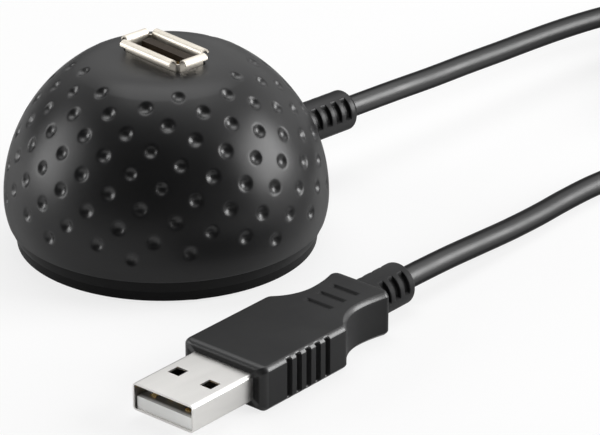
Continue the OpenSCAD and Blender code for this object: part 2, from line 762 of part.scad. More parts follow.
// Right half of the grip seen from above, front to back: block, a throat that leaves the block's
// round corner without a kink, waist, shoulder
grip_half = let (
    w = grip_w / 2,
    r = grip_corner_r,
    waist_x = grip_waist_w / 2,
    waist_y = block_y + grip_waist_at,
    in = w - r - waist_x,
    back = grip_waist_at + r,
    throat_r = (pow(back, 2) + pow(in, 2) - pow(r, 2)) / (2 * (in + r)),
    throat_a = atan2(back, throat_r - in),
    back_a = 180 - asin((shoulder_y - r - waist_y) / grip_waist_r))
    concat(
        arc([w - r, grip_y + r], r, -90, 0, 4),
        arc([w - r, block_y - r], r, 0, throat_a, 3),
        after_first(arc([waist_x + throat_r, waist_y], throat_r, 180 + throat_a, 180, 7)),
        after_first(arc([waist_x + grip_waist_r, waist_y], grip_waist_r, 180, back_a, 5)),
        arc([waist_x + grip_waist_r * (1 + cos(back_a)) - r, shoulder_y - r], r, 22.5, 90, 3));
grip_outline = concat(grip_half, [for (i = [len(grip_half) - 1 : -1 : 0])
                                  [-grip_half[i][0], grip_half[i][1]]]);

// Outline moved inward by d along the bisector at each corner
function inset(p, d) = [for (i = [0 : len(p) - 1])
    let (a = unit(p[i] - p[(i + len(p) - 1) % len(p)]), b = unit(p[(i + 1) % len(p)] - p[i]),
         n = unit([-a[1] - b[1], a[0] + b[0]]), c = n * [-a[1], a[0]])
    p[i] + n * d / max(c, 0.5)];

// Plate with its outline full at mid height and bevelled at top and bottom
module bevelled_plate(outline, t, bevel) {
    n = len(outline);
    small = inset(outline, bevel);
    layers = [[small, -t / 2], [outline, bevel - t / 2], [outline, t / 2 - bevel], [small, t / 2]];
    polyhedron(
        [for (layer = layers) each [for (q = layer[0]) [q[0], q[1], layer[1]]]],
        concat([[for (k = [0 : n - 1]) k]], [[for (k = [n - 1 : -1 : 0]) 3 * n + k]],
               [for (i = [0 : 2], k = [0 : n - 1]) [i * n + k, (i + 1) * n + k, i * n + (k + 1) % n]],
               [for (i = [0 : 2], k = [0 : n - 1])
                   [i * n + (k + 1) % n, (i + 1) * n + k, (i + 1) * n + (k + 1) % n]]));
}

module grip_grooves() {
    for (i = [0 : grip_side_grooves - 1], s = [-1, 1])
        translate([s * grip_w / 2, grip_y + grip_side_start + i * grip_side_pitch, 0])
            cube([2 * grip_groove_depth, grip_groove_w, grip_t + cut], center = true);
    cross_first = (block_y + shoulder_y) / 2 - grip_cross_shift
                  - grip_cross_pitch * (grip_cross_grooves - 1) / 2;
    for (i = [0 : grip_cross_grooves - 1], s = [-1, 1])
        translate([0, cross_first + i * grip_cross_pitch, s * grip_t / 2])
            cube([grip_cross_l, grip_groove_w, 2 * grip_cross_depth], center = true);
}

module plug_overmould() {
    color("#2c2c2e") plug_place() difference() {
        union() {
            bevelled_plate(grip_outline, grip_t, grip_bevel);
            ribbed_sleeve(shoulder_y - grip_tail_root, grip_tail_l + grip_tail_root, grip_tail_d,
                grip_tail_grooves, grip_tail_pitch, relief_groove_depth);
        }
        grip_grooves();
        along_plug(grip_y - cut, shell_end_y) rounded_rect(plug_w, plug_t, plug_corner_r);
        along_plug(shell_end_y - cut, mould_end_y) square([plug_inner_w, plug_inner_t], center = true);
        rotate([-90, 0, 0]) cylinder(h = tail_y + cut, d = cable_d);
    }
}

module plug_shell() {
    color("#cfd1d2") plug_place() difference() {
        along_plug(0, shell_end_y) difference() {
            rounded_rect(plug_w, plug_t, plug_corner_r);
            rounded_rect(plug_inner_w, plug_inner_t, plug_corner_r - plug_wall);
        }
        for (x = [-1, 1]) translate([x * window_x, window_y, 0])
            cube([window_s, window_s, plug_t + cut], center = true);
    }
}

module plug_insulator() {
    color("#f1f0ec") plug_place() translate([0, plug_insulator_recess, plug_insulator_low])
        translate([-plug_inner_w / 2 + plug_wall, 0, 0])
            cube([plug_inner_w - 2 * plug_wall, shell_end_y - plug_insulator_recess, plug_insulator_t]);
}

module plug_contacts() {
    color("#c9a24a") plug_place() for (x = contact_xs) {
        back = abs(x) < contact_xs[3] ? plug_contact_step : 0;
        translate([x - contact_w / 2, plug_contact_y + back, plug_insulator_low + plug_insulator_t])
            cube([contact_w, plug_contact_l - back, contact_t]);
    }
}

module plug_inner_mould() {
    color("#d8d5c8") plug_place() difference() {
        along_plug(shell_end_y, mould_end_y) square([plug_inner_w, plug_inner_t], center = true);
        translate([0, mould_end_y - jacket_held_l, 0]) rotate([-90, 0, 0])
            cylinder(h = jacket_held_l + cut, d = cable_d);
    }
}

module plug_tail() {
    color("#161617") plug_place() translate([0, mould_end_y - jacket_held_l, 0]) rotate([-90, 0, 0])
        cylinder(h = tail_y - mould_end_y + jacket_held_l, d = cable_d);
}

dome_shell();
base_plate();
base_screws();
rubber_feet();
ballast_weight();
socket_shell();
socket_insulator();
socket_contacts();
socket_board();
board_screws();
strain_relief();
cable_tail();
wire_red();
wire_white();
wire_green();
wire_black();
cable_dock_run();
cable_coil();
cable_plug_run();
coil_tie();
plug_overmould();
plug_shell();
plug_insulator();
plug_contacts();
plug_inner_mould();
plug_tail();
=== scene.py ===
"""Looks of a dimpled dome USB extension dock, laid out as an add-on and run as a script."""
import math

import bpy
import numpy as np
from bpy.props import FloatProperty, FloatVectorProperty, IntProperty, PointerProperty
from bpy.types import Operator, Panel, PropertyGroup
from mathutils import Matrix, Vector


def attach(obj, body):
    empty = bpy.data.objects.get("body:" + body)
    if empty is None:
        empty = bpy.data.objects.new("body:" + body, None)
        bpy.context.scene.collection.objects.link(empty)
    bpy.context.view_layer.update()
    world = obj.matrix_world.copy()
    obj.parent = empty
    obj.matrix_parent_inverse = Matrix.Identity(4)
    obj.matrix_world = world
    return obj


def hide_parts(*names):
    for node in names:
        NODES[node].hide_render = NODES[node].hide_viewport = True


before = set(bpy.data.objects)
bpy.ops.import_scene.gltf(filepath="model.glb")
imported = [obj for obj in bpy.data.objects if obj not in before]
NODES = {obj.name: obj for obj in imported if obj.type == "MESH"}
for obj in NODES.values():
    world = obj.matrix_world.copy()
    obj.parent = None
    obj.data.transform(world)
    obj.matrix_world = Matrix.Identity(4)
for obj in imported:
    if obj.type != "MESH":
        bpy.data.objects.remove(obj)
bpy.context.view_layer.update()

bl_info = {
    "name": "Dome USB dock",
    "version": (1, 0, 0),
    "blender": (4, 5, 0),
    "location": "3D View > Sidebar > Dock",
    "description": "Builds the looks of a dimpled dome USB extension dock on its cable",
    "category": "Object",
}

MM = 0.001
GOLDEN_ANGLE = math.pi * (3 - math.sqrt(5))
CREASE = math.radians(38.0)
SLEEVE_POINTS, POST_POINTS, CABLE_POINTS, CORE_POINTS = 144, 32, 20, 12
COLOUR_A, COLOUR_B, COLOUR_RESULT = 6, 7, 2
WHITE = (1.0, 1.0, 1.0, 1.0)


def length(name, description, millimetres):
    """Length property, given in millimetres and held in metres."""
    return FloatProperty(name=name, description=description, default=millimetres * MM,
                         min=0.0, precision=5, unit="LENGTH")


def point(name, description, metres):
    """Point property, in metres."""
    return FloatVectorProperty(name=name, description=description, default=metres, precision=5,
                               unit="LENGTH")


def angle_value(name, description, degrees):
    """Angle property, given in degrees and held in radians."""
    return FloatProperty(name=name, description=description, default=math.radians(degrees),
                         subtype="ANGLE")


def factor(name, description, value):
    """Property for a plain number."""
    return FloatProperty(name=name, description=description, default=value, min=0.0)


def whole_number(name, description, value):
    """Property for a number of like things."""
    return IntProperty(name=name, description=description, default=value, min=1)


def colour(name, description, value):
    """Linear colour property."""
    return FloatVectorProperty(name=name, description=description, default=value,
                               subtype="COLOR", size=3, min=0.0, max=1.0)


class DomeShape(PropertyGroup):
    """Sizes of the dome and its dimples."""
    diameter: length("Diameter", "Width of the dome at its widest line", 53.0)
    mid_height: length("Widest line", "Height of the widest line above the table", 8.2)
    low_radius: length("Lower radius", "Radius of the turned-in wall below it", 12.5)
    low_height: length("Lower edge", "Height of the dome's lower edge", 4.2)
    wall: length("Wall", "Thickness of the wall", 2.2)
    crown_cut: length("Crown cut", "Height cut off for the flat top", 2.7)
    edge_blend: length("Edge blend", "Length over which the ball rolls into the flat top", 3.2)
    dimple_width: length("Dimple width", "Width of a dimple at the surface", 2.05)
    dimple_depth: length("Dimple depth", "Depth of a dimple", 0.5)
    dimple_start: length("First dimple", "Height of the lowest dimples above the widest line", 0.2)
    dimple_margin: length("Dimple margin", "Plain band below the edge of the flat top", 0.3)
    rim_round: length("Rim rounding", "Rounding of a dimple's rim", 0.2)
    dimple_count: whole_number("Dimples", "Dimples that the whole ball would carry", 360)
    seam_turn: angle_value("Seam", "Turn of the first dimple of the spiral", -53.0)
    columns: whole_number("Columns", "Points round the dome", 560)


class SocketSlot(PropertyGroup):
    """Sizes of the slot in the flat top and of the seat under the dome."""
    width: length("Slot width", "Width of the slot round the socket", 13.6)
    depth: length("Slot depth", "Width of the slot across the socket", 6.22)
    corner: length("Slot corner", "Corner radius of the slot", 0.85)
    edge: length("Slot edge", "Rounding of the slot's edge", 0.18)
    rim_height: length("Rim height", "Height of the top of the thick rim inside", 5.9)
    rim_bore: length("Rim bore", "Radius of the bore of the thick rim", 23.823)


class InsideShape(PropertyGroup):
    """Places of the posts, the board and the cores inside the dome."""
    post_ring: length("Post ring", "Distance of the base posts from the middle", 20.673)
    post_low: length("Post foot", "Height of the foot of the base posts", 5.3)
    post_radius: length("Post radius", "Radius of a base post", 2.35)
    post_bore: length("Post bore", "Radius of the hole in a base post", 1.15)
    board_post_x: length("Board posts", "Distance of the board posts from the middle", 9.6)
    board_post_radius: length("Board post radius", "Radius of a board post", 2.1)
    board_post_bore: length("Board post bore", "Radius of the hole in a board post", 0.9)
    hole_depth: length("Hole depth", "Depth of the hole in a post", 7.0)
    board_top: length("Board top", "Height of the top of the board", 20.1)
    board_low: length("Board underside", "Height of the underside of the board", 18.5)
    jacket_end: length("Jacket end", "Distance of the jacket's end from the middle", 19.038)
    pad_row: length("Pad row", "Distance of the cores' pads from the middle", 4.5)
    pad_pitch: length("Pad spacing", "Spacing of the cores' pads", 2.0)
    core_lay: length("Core lay", "Distance of a core from the cable's axis", 0.72)
    core_width: length("Core width", "Diameter of a core", 0.95)
    core_stub: length("Core stub", "Straight length of a core at its ends", 1.2)
    core_step: length("Core step", "Length of a step along a core", 0.4)


class ReliefShape(PropertyGroup):
    """Sizes of the ribbed sleeve where the cable leaves the dome."""
    height: length("Height", "Height of the cable's axis at the dome", 11.0)
    start: length("Start", "Distance of the dome's face from its middle", 26.352)
    end: length("End", "Distance of the sleeve's end from the dome's middle", 40.352)
    radius: length("Radius", "Radius of the sleeve", 3.5)
    collar: length("Collar", "Radius of the collar against the dome", 4.2)
    clear_band: length("Clear band", "Plain band between the collar and the dimples", 0.5)
    groove_depth: length("Groove depth", "Depth of a groove", 0.7)
    groove_pitch: length("Groove spacing", "Spacing of the grooves", 2.2)
    grooves: whole_number("Grooves", "Number of grooves", 4)
    collar_length: length("Collar length", "Length of the collar outside the dome", 1.2)
    root: length("Root", "Length of the ribbed part inside the wall", 1.0)
    neck_end: length("Neck end", "Distance of the neck's end inside the dome's face", 0.5)
    neck_radius: length("Neck radius", "Radius of the neck through the wall", 3.6)
    flange_start: length("Flange start", "Distance of the flange's end inside the dome's face", 3.9)
    flange_thickness: length("Flange thickness", "Thickness of the flange inside the wall", 1.5)
    flange_radius: length("Flange radius", "Radius of the flange inside the wall", 5.0)
    rounding: length("Rounding", "Rounding of the neck and the flange", 0.2)


class CableShape(PropertyGroup):
    """Sizes of the cable, its coil and its strap."""
    diameter: length("Diameter", "Diameter of the cable's jacket", 3.7)
    coil_radius: length("Coil radius", "Radius of the outermost turn", 32.6)
    coil_pitch: length("Coil pitch", "Spacing of the turns and of the layers", 4.2)
    coil_turns: factor("Coil turns", "Turns in the two layers", 8.5)
    coil_centre: point("Coil middle", "Middle of the lower layer", (0.032, 0.131, 0.00285))
    step: length("Step", "Length of a step along the cable", 1.1)
    strap_width: length("Strap width", "Width of the strap round the coil", 8.0)
    strap_thickness: length("Strap thickness", "Thickness of the strap", 0.8)
    strap_gap: length("Strap gap", "Clearance of the strap round the coil", 0.15)
    strap_bend: length("Strap bend", "Inner radius of the strap's corners", 1.5)
    strap_edge: length("Strap edge", "Rounding of the strap's edges", 0.3)


class GripShape(PropertyGroup):
    """Sizes of the plug's moulded grip, along the plug from its tip."""
    tip: point("Tip", "Place of the plug's tip", (0.0495, -0.044, 0.0037))
    turn: angle_value("Turn", "Turn of the plug on the table", 6.5)
    mouth_width: length("Mouth width", "Width of the pocket for the shell", 12.0)
    mouth_height: length("Mouth height", "Height of the pocket for the shell", 4.5)
    mouth_depth: length("Mouth depth", "Depth of the pocket for the shell", 5.0)
    front: length("Front", "Front face of the grip", 13.3)
    block_end: length("Block end", "Back of the wide front block", 33.1)
    shoulder_end: length("Shoulder end", "Back of the shoulder", 46.0)
    tail_end: length("Tail end", "End of the ribbed tail", 55.5)
    width: length("Width", "Width of the front block", 16.4)
    thickness: length("Thickness", "Thickness of the grip", 7.4)
    waist: length("Waist", "Width of the grip at its waist", 10.2)
    waist_at: length("Waist place", "Distance of the narrowest place behind the block", 6.2)
    waist_radius: length("Waist radius", "Radius of the hollow before the shoulder", 20.0)
    corner: length("Corner", "Radius of the corners seen from above", 1.2)
    edge: length("Edge", "Bevel along the top and bottom edges", 0.75)
    bluntness: factor("Bluntness", "1 rounds the bevels and 2 flattens them", 1.6)
    groove_width: length("Groove width", "Width of the grooves", 0.9)
    side_depth: length("Side groove depth", "Depth of the grooves down the sides", 0.7)
    side_start: length("First side groove", "Middle of the first groove behind the front", 5.8)
    side_pitch: length("Side groove spacing", "Spacing of the side grooves", 2.2)
    side_grooves: whole_number("Side grooves", "Grooves down a side", 5)
    cross_depth: length("Cross groove depth", "Depth of the grooves across the waist", 0.4)
    cross_length: length("Cross groove length", "Length of a groove across the waist", 4.8)
    cross_pitch: length("Cross groove spacing", "Spacing of these grooves", 3.1)
    cross_middle: length("Cross groove middle", "Middle of these grooves", 38.55)
    cross_grooves: whole_number("Cross grooves", "Grooves across the waist", 3)
    # Painted shade: beyond this depth behind the plug's tip the insulator's colour is painted dark.
    painted_shade_depth: length("Dark depth", "Depth in the mouth where the insulator is in the dark", 1.2)
    tail_radius: length("Tail radius", "Radius of the ribbed tail", 3.5)
    tail_pitch: length("Tail rib spacing", "Spacing of the tail's grooves", 2.3)
    tail_grooves: whole_number("Tail grooves", "Grooves round the tail", 3)
    tail_depth: length("Tail groove depth", "Depth of the tail's grooves", 0.7)
    tail_root: length("Tail root", "Length of the tail inside the shoulder", 1.0)


class Finishes(PropertyGroup):
    """Colours of the main finishes."""
    dome: colour("Dome plastic", "Satin black of the dome", (0.0098, 0.0098, 0.0102))
    base: colour("Base plastic", "Black of the base", (0.0045, 0.0045, 0.0047))
    grip: colour("Grip plastic", "Charcoal of the plug's grip", (0.0085, 0.0086, 0.0090))
    jacket: colour("Cable jacket", "Black of the cable", (0.0070, 0.0070, 0.0074))
    relief: colour("Relief rubber", "Black of the ribbed sleeve", (0.0080, 0.0080, 0.0084))
    nickel: colour("Socket nickel", "Warm nickel of the socket", (0.63, 0.59, 0.52))
    steel: colour("Plug steel", "Plated steel of the plug", (0.73, 0.72, 0.70))
    insulator: colour("Plug insulator", "White of the plug's insulator", (0.86, 0.86, 0.84))


class StageSettings(PropertyGroup):
    """Camera and light."""
    lens: factor("Lens", "Focal length on a 36 mm sensor", 217.2)
    azimuth: angle_value("Azimuth", "Turn of the camera round the dock", 47.0)
    elevation: angle_value("Elevation", "Height of the camera as an angle", 25.17)
    distance: length("Distance", "Distance of the camera from its target", 600.0)
    target: point("Target", "Point that the camera looks at", (0.00937, 0.02098, 0.0))
    dim_side: factor("Dim side", "Strength behind the camera", 0.1)
    sky: factor("Sky", "Strength of the even light", 0.04)
    bright_side: angle_value("Bright side", "Azimuth that is bright in reflections", 205.0)
    bright_rise: angle_value("Bright rise", "Elevation of its middle", 50.0)
    floor_glow: factor("Floor glow", "Share of the floor that is plain white to the camera", 0.78)
    floor_mirror: factor("Floor mirror", "Part of that share that reflections see", 0.375)


def shell(rows, wrap=False):
    """Closed skin over a grid of points, as vertices, quads and triangles.

    rows is an array (ring, point, xyz) and every ring closes on itself. Quads join neighbours.
    wrap joins the last ring to the first; otherwise each end ring is closed by a fan to the
    mean of its points. The sign of the enclosed volume turns the faces outward.
    """
    rings, count = rows.shape[:2]
    points = rows.reshape(-1, 3)
    index = np.arange(rings * count).reshape(rings, count)
    upper = np.roll(index, -1, axis=0) if wrap else index[1:]
    lower = index if wrap else index[:-1]
    quads = np.stack([lower, np.roll(lower, -1, 1), np.roll(upper, -1, 1), upper], -1).reshape(-1, 4)
    triangles = np.zeros((0, 3), int)
    if not wrap:
        ends = np.stack([index[0, ::-1], index[-1]])
        middles = np.repeat(len(points) + np.arange(2)[:, None], count, axis=1)
        points = np.vstack([points, rows[[0, -1]].mean(1)])
        triangles = np.stack([ends, np.roll(ends, -1, 1), middles], -1).reshape(-1, 3)
    corners = np.concatenate([quads[:, [0, 1, 2]], quads[:, [0, 2, 3]], triangles])
    a, b, c = (points[corners[:, k]] for k in range(3))
    if np.einsum("ij,ij->i", a, np.cross(b, c)).sum() < 0:
        quads, triangles = quads[:, ::-1], triangles[:, ::-1]
    return points, quads, triangles


def make_piece(name, shells, finish, *nodes):
    """Object at the origin from closed skins, riding on the root body in place of CAD nodes."""
    points, loops, totals = [], [], []
    offset = 0
    for part_points, quads, triangles in shells:
        points.append(part_points)
        loops += [(quads + offset).ravel(), (triangles + offset).ravel()]
        totals += [np.full(len(quads), 4), np.full(len(triangles), 3)]
        offset += len(part_points)
    points, loops, totals = np.concatenate(points), np.concatenate(loops), np.concatenate(totals)
    starts = np.cumsum(totals) - totals
    mesh = bpy.data.meshes.new(name)
    mesh.vertices.add(len(points))
    mesh.vertices.foreach_set("co", points.astype(np.float32).ravel())
    mesh.loops.add(len(loops))
    mesh.loops.foreach_set("vertex_index", loops.astype(np.int32))
    mesh.polygons.add(len(totals))
    mesh.polygons.foreach_set("loop_start", starts.astype(np.int32))
    mesh.polygons.foreach_set("loop_total", totals.astype(np.int32))
    mesh.update(calc_edges=True)
    mesh.polygons.foreach_set("use_smooth", np.ones(len(totals), bool))
    mesh.set_sharp_from_angle(angle=CREASE)
    if mesh.validate():
        raise RuntimeError(f"{name}: the mesh had faults")
    mesh.materials.append(finish.material)
    piece = bpy.data.objects.new(name, mesh)
    bpy.context.scene.collection.objects.link(piece)
    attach(piece, "root")
    if nodes:
        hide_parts(*nodes)
    return piece


def paint(piece, name, mask):
    """Gives a piece's first points the values of a mask, as an attribute; the others get 0."""
    values = np.zeros(len(piece.data.vertices), np.float32)
    values[:mask.size] = mask.ravel()
    layer = piece.data.attributes.new(name, "FLOAT", "POINT")
    layer.data.foreach_set("value", values)


def dress(finish, *nodes):
    """Gives the objects of CAD nodes their finish."""
    for node in nodes:
        mesh = NODES[node].data
        mesh.materials.clear()
        mesh.materials.append(finish.material)


def unit(vectors):
    """Vectors divided by their lengths."""
    return vectors / np.linalg.norm(vectors, axis=-1, keepdims=True)


def soften(corners, radius, steps=5):
    """Polyline with rounded corners.

    Each inner corner becomes a quadratic curve that leaves one side a cut before the corner and
    joins the next a cut after it, with the corner as its control point. The cut is the radius,
    or 0.45 of the shorter side where that is less.
    """
    line = np.asarray(corners, float)
    middle, before, after = line[1:-1], line[:-2] - line[1:-1], line[2:] - line[1:-1]
    sides = np.minimum(np.linalg.norm(before, axis=1), np.linalg.norm(after, axis=1))
    cut = np.minimum(radius, 0.45 * sides)[:, None]
    t = np.linspace(0.0, 1.0, steps)[None, :, None]
    first, last = (middle + unit(before) * cut)[:, None], (middle + unit(after) * cut)[:, None]
    curve = (1 - t) ** 2 * first + 2 * t * (1 - t) * middle[:, None] + t ** 2 * last
    return np.concatenate([line[:1], curve.reshape(-1, line.shape[1]), line[-1:]])


def ease(t):
    """Smooth step: 0 up to 0, 1 from 1 and 3 t^2 - 2 t^3 between."""
    t = np.clip(t, 0.0, 1.0)
    return t * t * (3 - 2 * t)


def turned(profile, count):
    """Rows of rings for a profile of (along, radius, web radius) turned round the Y axis.

    Point: (r cos a, along, r sin a) for evenly spaced angles a. With f the lift of a above the
    level in degrees, r is the profile's radius from f = 0 to 50 and the web radius under f = -5
    and over f = 64, so each groove is a slot in either upper side, with a broad web on top.
    A profile without web radius is the same all round.
    """
    angle = np.linspace(0.0, 2 * math.pi, count, endpoint=False)
    along, radius, web = profile[:, :1], profile[:, 1:2], profile[:, -1:]
    low, low_fade, high, high_fade = -5.0, 5.0, 64.0, 14.0
    lift = np.degrees(np.arcsin(np.sin(angle)))
    r = web + (radius - web) * ease((lift - low) / low_fade) * ease((high - lift) / high_fade)
    return np.stack([r * np.cos(angle), along + 0 * angle, r * np.sin(angle)], -1)


def smooth_route(points, step):
    """Catmull-Rom curve through the points, cut into equal steps along its length."""
    ends = np.vstack([2 * points[0] - points[1], points, 2 * points[-1] - points[-2]])
    p0, p1, p2, p3 = (ends[k:len(ends) - 3 + k, None] for k in range(4))
    cuts, fewest = 16, 8
    t = np.linspace(0.0, 1.0, cuts, endpoint=False)[None, :, None]
    curve = 0.5 * (2 * p1 + (p2 - p0) * t + (2 * p0 - 5 * p1 + 4 * p2 - p3) * t ** 2
                   + (3 * p1 - p0 - 3 * p2 + p3) * t ** 3)
    curve = np.vstack([curve.reshape(-1, 3), points[-1]])
    run = np.concatenate([[0.0], np.cumsum(np.linalg.norm(np.diff(curve, axis=0), axis=1))])
    marks = np.linspace(0.0, run[-1], max(int(run[-1] / step), fewest) + 1)
    return np.stack([np.interp(marks, run, curve[:, k]) for k in range(3)], -1)


def tube(path, radius, sides, hint=(0.0, 0.0, 1.0)):
    """Rows of rings round a path: centre + radius (cos a side + sin a over).

    side is square to the path and to the hint, and over is square to the path and to side.
    """
    heading = unit(np.gradient(path, axis=0))
    side = unit(np.cross(heading, np.asarray(hint)))
    over = np.cross(side, heading)
    angle = np.linspace(0.0, 2 * math.pi, sides, endpoint=False)[None, :, None]
    return path[:, None] + radius * (np.cos(angle) * side[:, None] + np.sin(angle) * over[:, None])


def dimple_axes(dome, relief):
    """Unit directions of the dimples from the ball's middle.

    They follow one spiral up the ball: number k is k even steps of height above the first and
    k golden angles round from it. Those close to the strain relief are left out.
    """
    ball = dome.diameter / 2
    clear = relief.collar + dome.dimple_width / 2 + relief.clear_band
    edge = math.asin((ball - dome.crown_cut) / ball)
    top = ball * math.sin(edge - (dome.dimple_width / 2 + dome.dimple_margin) / ball)
    step = dome.diameter / dome.dimple_count
    k = np.arange(int((top - dome.dimple_start) / step) + 1)
    z = (dome.dimple_start + k * step) / ball
    turn = dome.seam_turn + k * GOLDEN_ANGLE
    flat = np.sqrt(1 - z ** 2)
    axes = np.stack([flat * np.cos(turn), flat * np.sin(turn), z], -1)
    sleeve = np.array([0.0, relief.start, relief.height - dome.mid_height])
    return axes[np.linalg.norm(axes * ball - sleeve, axis=-1) > clear]


def dimple_depths(dome, relief, directions):
    """Depth of the dimples below the ball for unit directions from the ball's middle.

    A dimple is a small ball whose middle lies outside the dome; a ray at angle a from the
    dimple's axis meets it at D cos a - sqrt(r^2 - D^2 sin^2 a). The signed depth x is softened
    at the rim to (x + sqrt(x^2 + e^2)) / 2. Only the nearest dimple counts.
    Returns the depths and a 0 to 1 mask of the dimples' insides, which rises from a fifth to
    half of the depth.
    """
    far, mask_start, mask_rise = 6, 0.2, 0.3
    ball = dome.diameter / 2
    half, depth = dome.dimple_width / 2, dome.dimple_depth
    small = (half ** 2 + depth ** 2) / (2 * depth)
    reach = ball + small - depth
    cosine = np.clip((directions @ dimple_axes(dome, relief).T).max(-1), -1.0, 1.0)
    inside = small ** 2 - reach ** 2 * (1 - cosine ** 2)
    signed = ball - reach * cosine + np.sqrt(np.maximum(inside, 0.0))
    outside = -far * dome.rim_round
    signed = np.where(inside > 0, np.maximum(signed, outside), outside)
    depths = (signed + np.sqrt(signed ** 2 + dome.rim_round ** 2)) / 2
    return depths, np.clip((depths / depth - mask_start) / mask_rise, 0.0, 1.0)


def slot_reach(slot, angle, grow):
    """Distance from the middle to the slot's rounded rectangle along each angle.

    The nearer of the two straight sides, or the corner circle where the ray meets it.
    """
    w, d, r = slot.width / 2 + grow, slot.depth / 2 + grow, slot.corner + grow
    c, s = np.abs(np.cos(angle)), np.abs(np.sin(angle))
    straight = np.minimum(w / np.maximum(c, 1e-9), d / np.maximum(s, 1e-9))
    cx, cy = w - r, d - r
    along = cx * c + cy * s
    corner = along + np.sqrt(np.maximum(along ** 2 - cx ** 2 - cy ** 2 + r ** 2, 0.0))
    in_corner = (straight * c > cx) & (straight * s > cy)
    return np.where(in_corner, corner, straight)


def dome_skin(dome, slot, relief):
    """Rows of the dome: up the outside, over the flat top, down the slot and back inside.

    Outside, radius = ring middle + low radius cos t below the widest line and a ball above it,
    less the dimples; a quadratic curve rolls it into the flat top. The top runs from a circle
    to the slot's rounded rectangle. Inside is a smaller ball above a straight rim. Returns the
    rows and a 0 to 1 mask of the dimples' insides.
    """
    low_rows, ball_rows, roll_rows, cap_rows, edge_rows, inner_rows = 17, 102, 25, 7, 4, 10
    lip_rise, lip_bevel, lip_width = 0.25 * MM, 0.12 * MM, 0.45 * MM
    ball, mid = dome.diameter / 2, dome.mid_height
    top = mid + ball - dome.crown_cut
    inner, ceiling = ball - dome.wall, top - dome.wall
    angle = np.linspace(0.0, 2 * math.pi, dome.columns, endpoint=False)
    ring = np.stack([np.cos(angle), np.sin(angle), 0 * angle], -1)
    up = np.array([0.0, 0.0, 1.0])

    def ring_rows(radius, height):
        return radius[..., None] * ring + height[..., None] * up

    first = -math.asin((mid - dome.low_height - lip_rise) / dome.low_radius)
    t = np.linspace(first, 0.0, low_rows)[:-1]
    low = np.stack([ball - dome.low_radius * (1 - np.cos(t)), mid + dome.low_radius * np.sin(t)], -1)
    start = low[0, 0]
    lip = soften([[start - lip_width, dome.low_height], [start - lip_bevel, dome.low_height], low[0]],
                 lip_rise, 4)
    edge_lift = math.asin((top - mid) / ball)
    lift = np.linspace(0.0, edge_lift - dome.edge_blend / ball, ball_rows)
    round_up = np.stack([ball * np.cos(lift), mid + ball * np.sin(lift)], -1)
    edge = np.array([ball * math.cos(edge_lift), top])
    flat = edge - (dome.edge_blend, 0.0)
    u = np.linspace(0.0, 1.0, roll_rows)[1:, None]
    roll = (1 - u) ** 2 * round_up[-1] + 2 * u * (1 - u) * edge + u ** 2 * flat
    outside = np.vstack([lip[:-1], low, round_up, roll])
    skin = ring_rows(outside[:, :1], outside[:, 1:])
    away = unit(skin - mid * up)
    depths, insides = dimple_depths(dome, relief, away)
    share = np.linspace(0.0, 1.0, cap_rows)[1:, None]
    cap = flat[0] * (1 - share) + slot_reach(slot, angle, slot.edge) * share
    bend = np.linspace(0.0, math.pi / 2, edge_rows)[1:, None]
    mouth = slot_reach(slot, angle, 0.0)
    fall_lift = np.linspace(math.asin((ceiling - mid) / inner),
                            math.asin((slot.rim_height - mid) / inner), inner_rows)
    inside = np.stack([inner * np.cos(fall_lift), mid + inner * np.sin(fall_lift)], -1)
    seat = [[slot.rim_bore, slot.rim_height], [slot.rim_bore, dome.low_height]]
    back = np.vstack([inside, seat])
    rows = np.concatenate([
        skin - depths[..., None] * away, ring_rows(cap, np.full((1, 1), top)),
        ring_rows(mouth + slot.edge * (1 - np.sin(bend)), top - slot.edge * (1 - np.cos(bend))),
        ring_rows(mouth[None], np.full((1, 1), ceiling)), ring_rows(back[:, :1], back[:, 1:])])
    mask = np.zeros(rows.shape[:2])
    mask[:len(insides)] = insides
    return rows, mask


def ribbed(start, end, radius, pitch, grooves, depth, bore, collar=None):
    """Profile of a ribbed sleeve: a straight side with square grooves, rounded at every corner.

    The grooves are half a pitch wide and end a land before the bevelled end; the profile turns
    back along the bore, so the sleeve is a closed ring. The third column is the radius without
    the grooves, for the webs between them.
    """
    land, bevel, rounding = 1.2 * MM, 0.8 * MM, 0.24 * MM
    first = end - bevel - land - grooves * pitch + pitch / 2
    at = first + np.arange(grooves) * pitch
    steps = np.stack([at, at, at + pitch / 2, at + pitch / 2], -1).reshape(-1)
    heights = np.tile([radius, radius - depth, radius - depth, radius], grooves)
    side = np.stack([steps, heights], -1)
    head = [[start, bore], [start, radius]]
    if collar:
        head = [[start, bore], [start, collar[0]], [collar[1], collar[0]], [collar[1], radius]]
    corners = np.vstack([head, side, [[end - bevel, radius], [end, radius - bevel], [end, bore]]])
    line = soften(corners, rounding, 5)
    cut = (line[:, 0] > first - pitch / 4) & (line[:, 0] < end - bevel - land / 2)
    return np.column_stack([line, np.where(cut, radius, line[:, 1])])


def rounded_rectangle(width, height, corner, arc, flats):
    """Points and outward normals round a rounded rectangle, anticlockwise from its right side.

    Point: corner middle + corner (cos a, sin a). On the straight sides the middle slides to the
    next corner's. arc counts the points on a corner, and flats those on a level and an upright
    side.
    """
    half = np.array([width, height]) / 2 - corner
    middles = np.array([[1, 1], [-1, 1], [-1, -1], [1, -1]]) * half
    angles, places = [], []
    for k in range(4):
        slide = np.linspace(0.0, 1.0, flats[k % 2] + 2)[1:-1]
        angles += [np.linspace(k, k + 1, arc), np.full(slide.shape, k + 1)]
        slide = np.concatenate([np.zeros(arc), slide])[:, None]
        places.append(middles[k] * (1 - slide) + middles[(k + 1) % 4] * slide)
    angle = np.concatenate(angles) * math.pi / 2
    normals = np.stack([np.cos(angle), np.sin(angle)], -1)
    return np.concatenate(places) + corner * normals, normals


def notch(distance, width, soft):
    """1 in the middle of a groove and 0 outside it, with sides that slope over soft."""
    return ease((width / 2 + soft / 2 - np.abs(distance)) / soft)


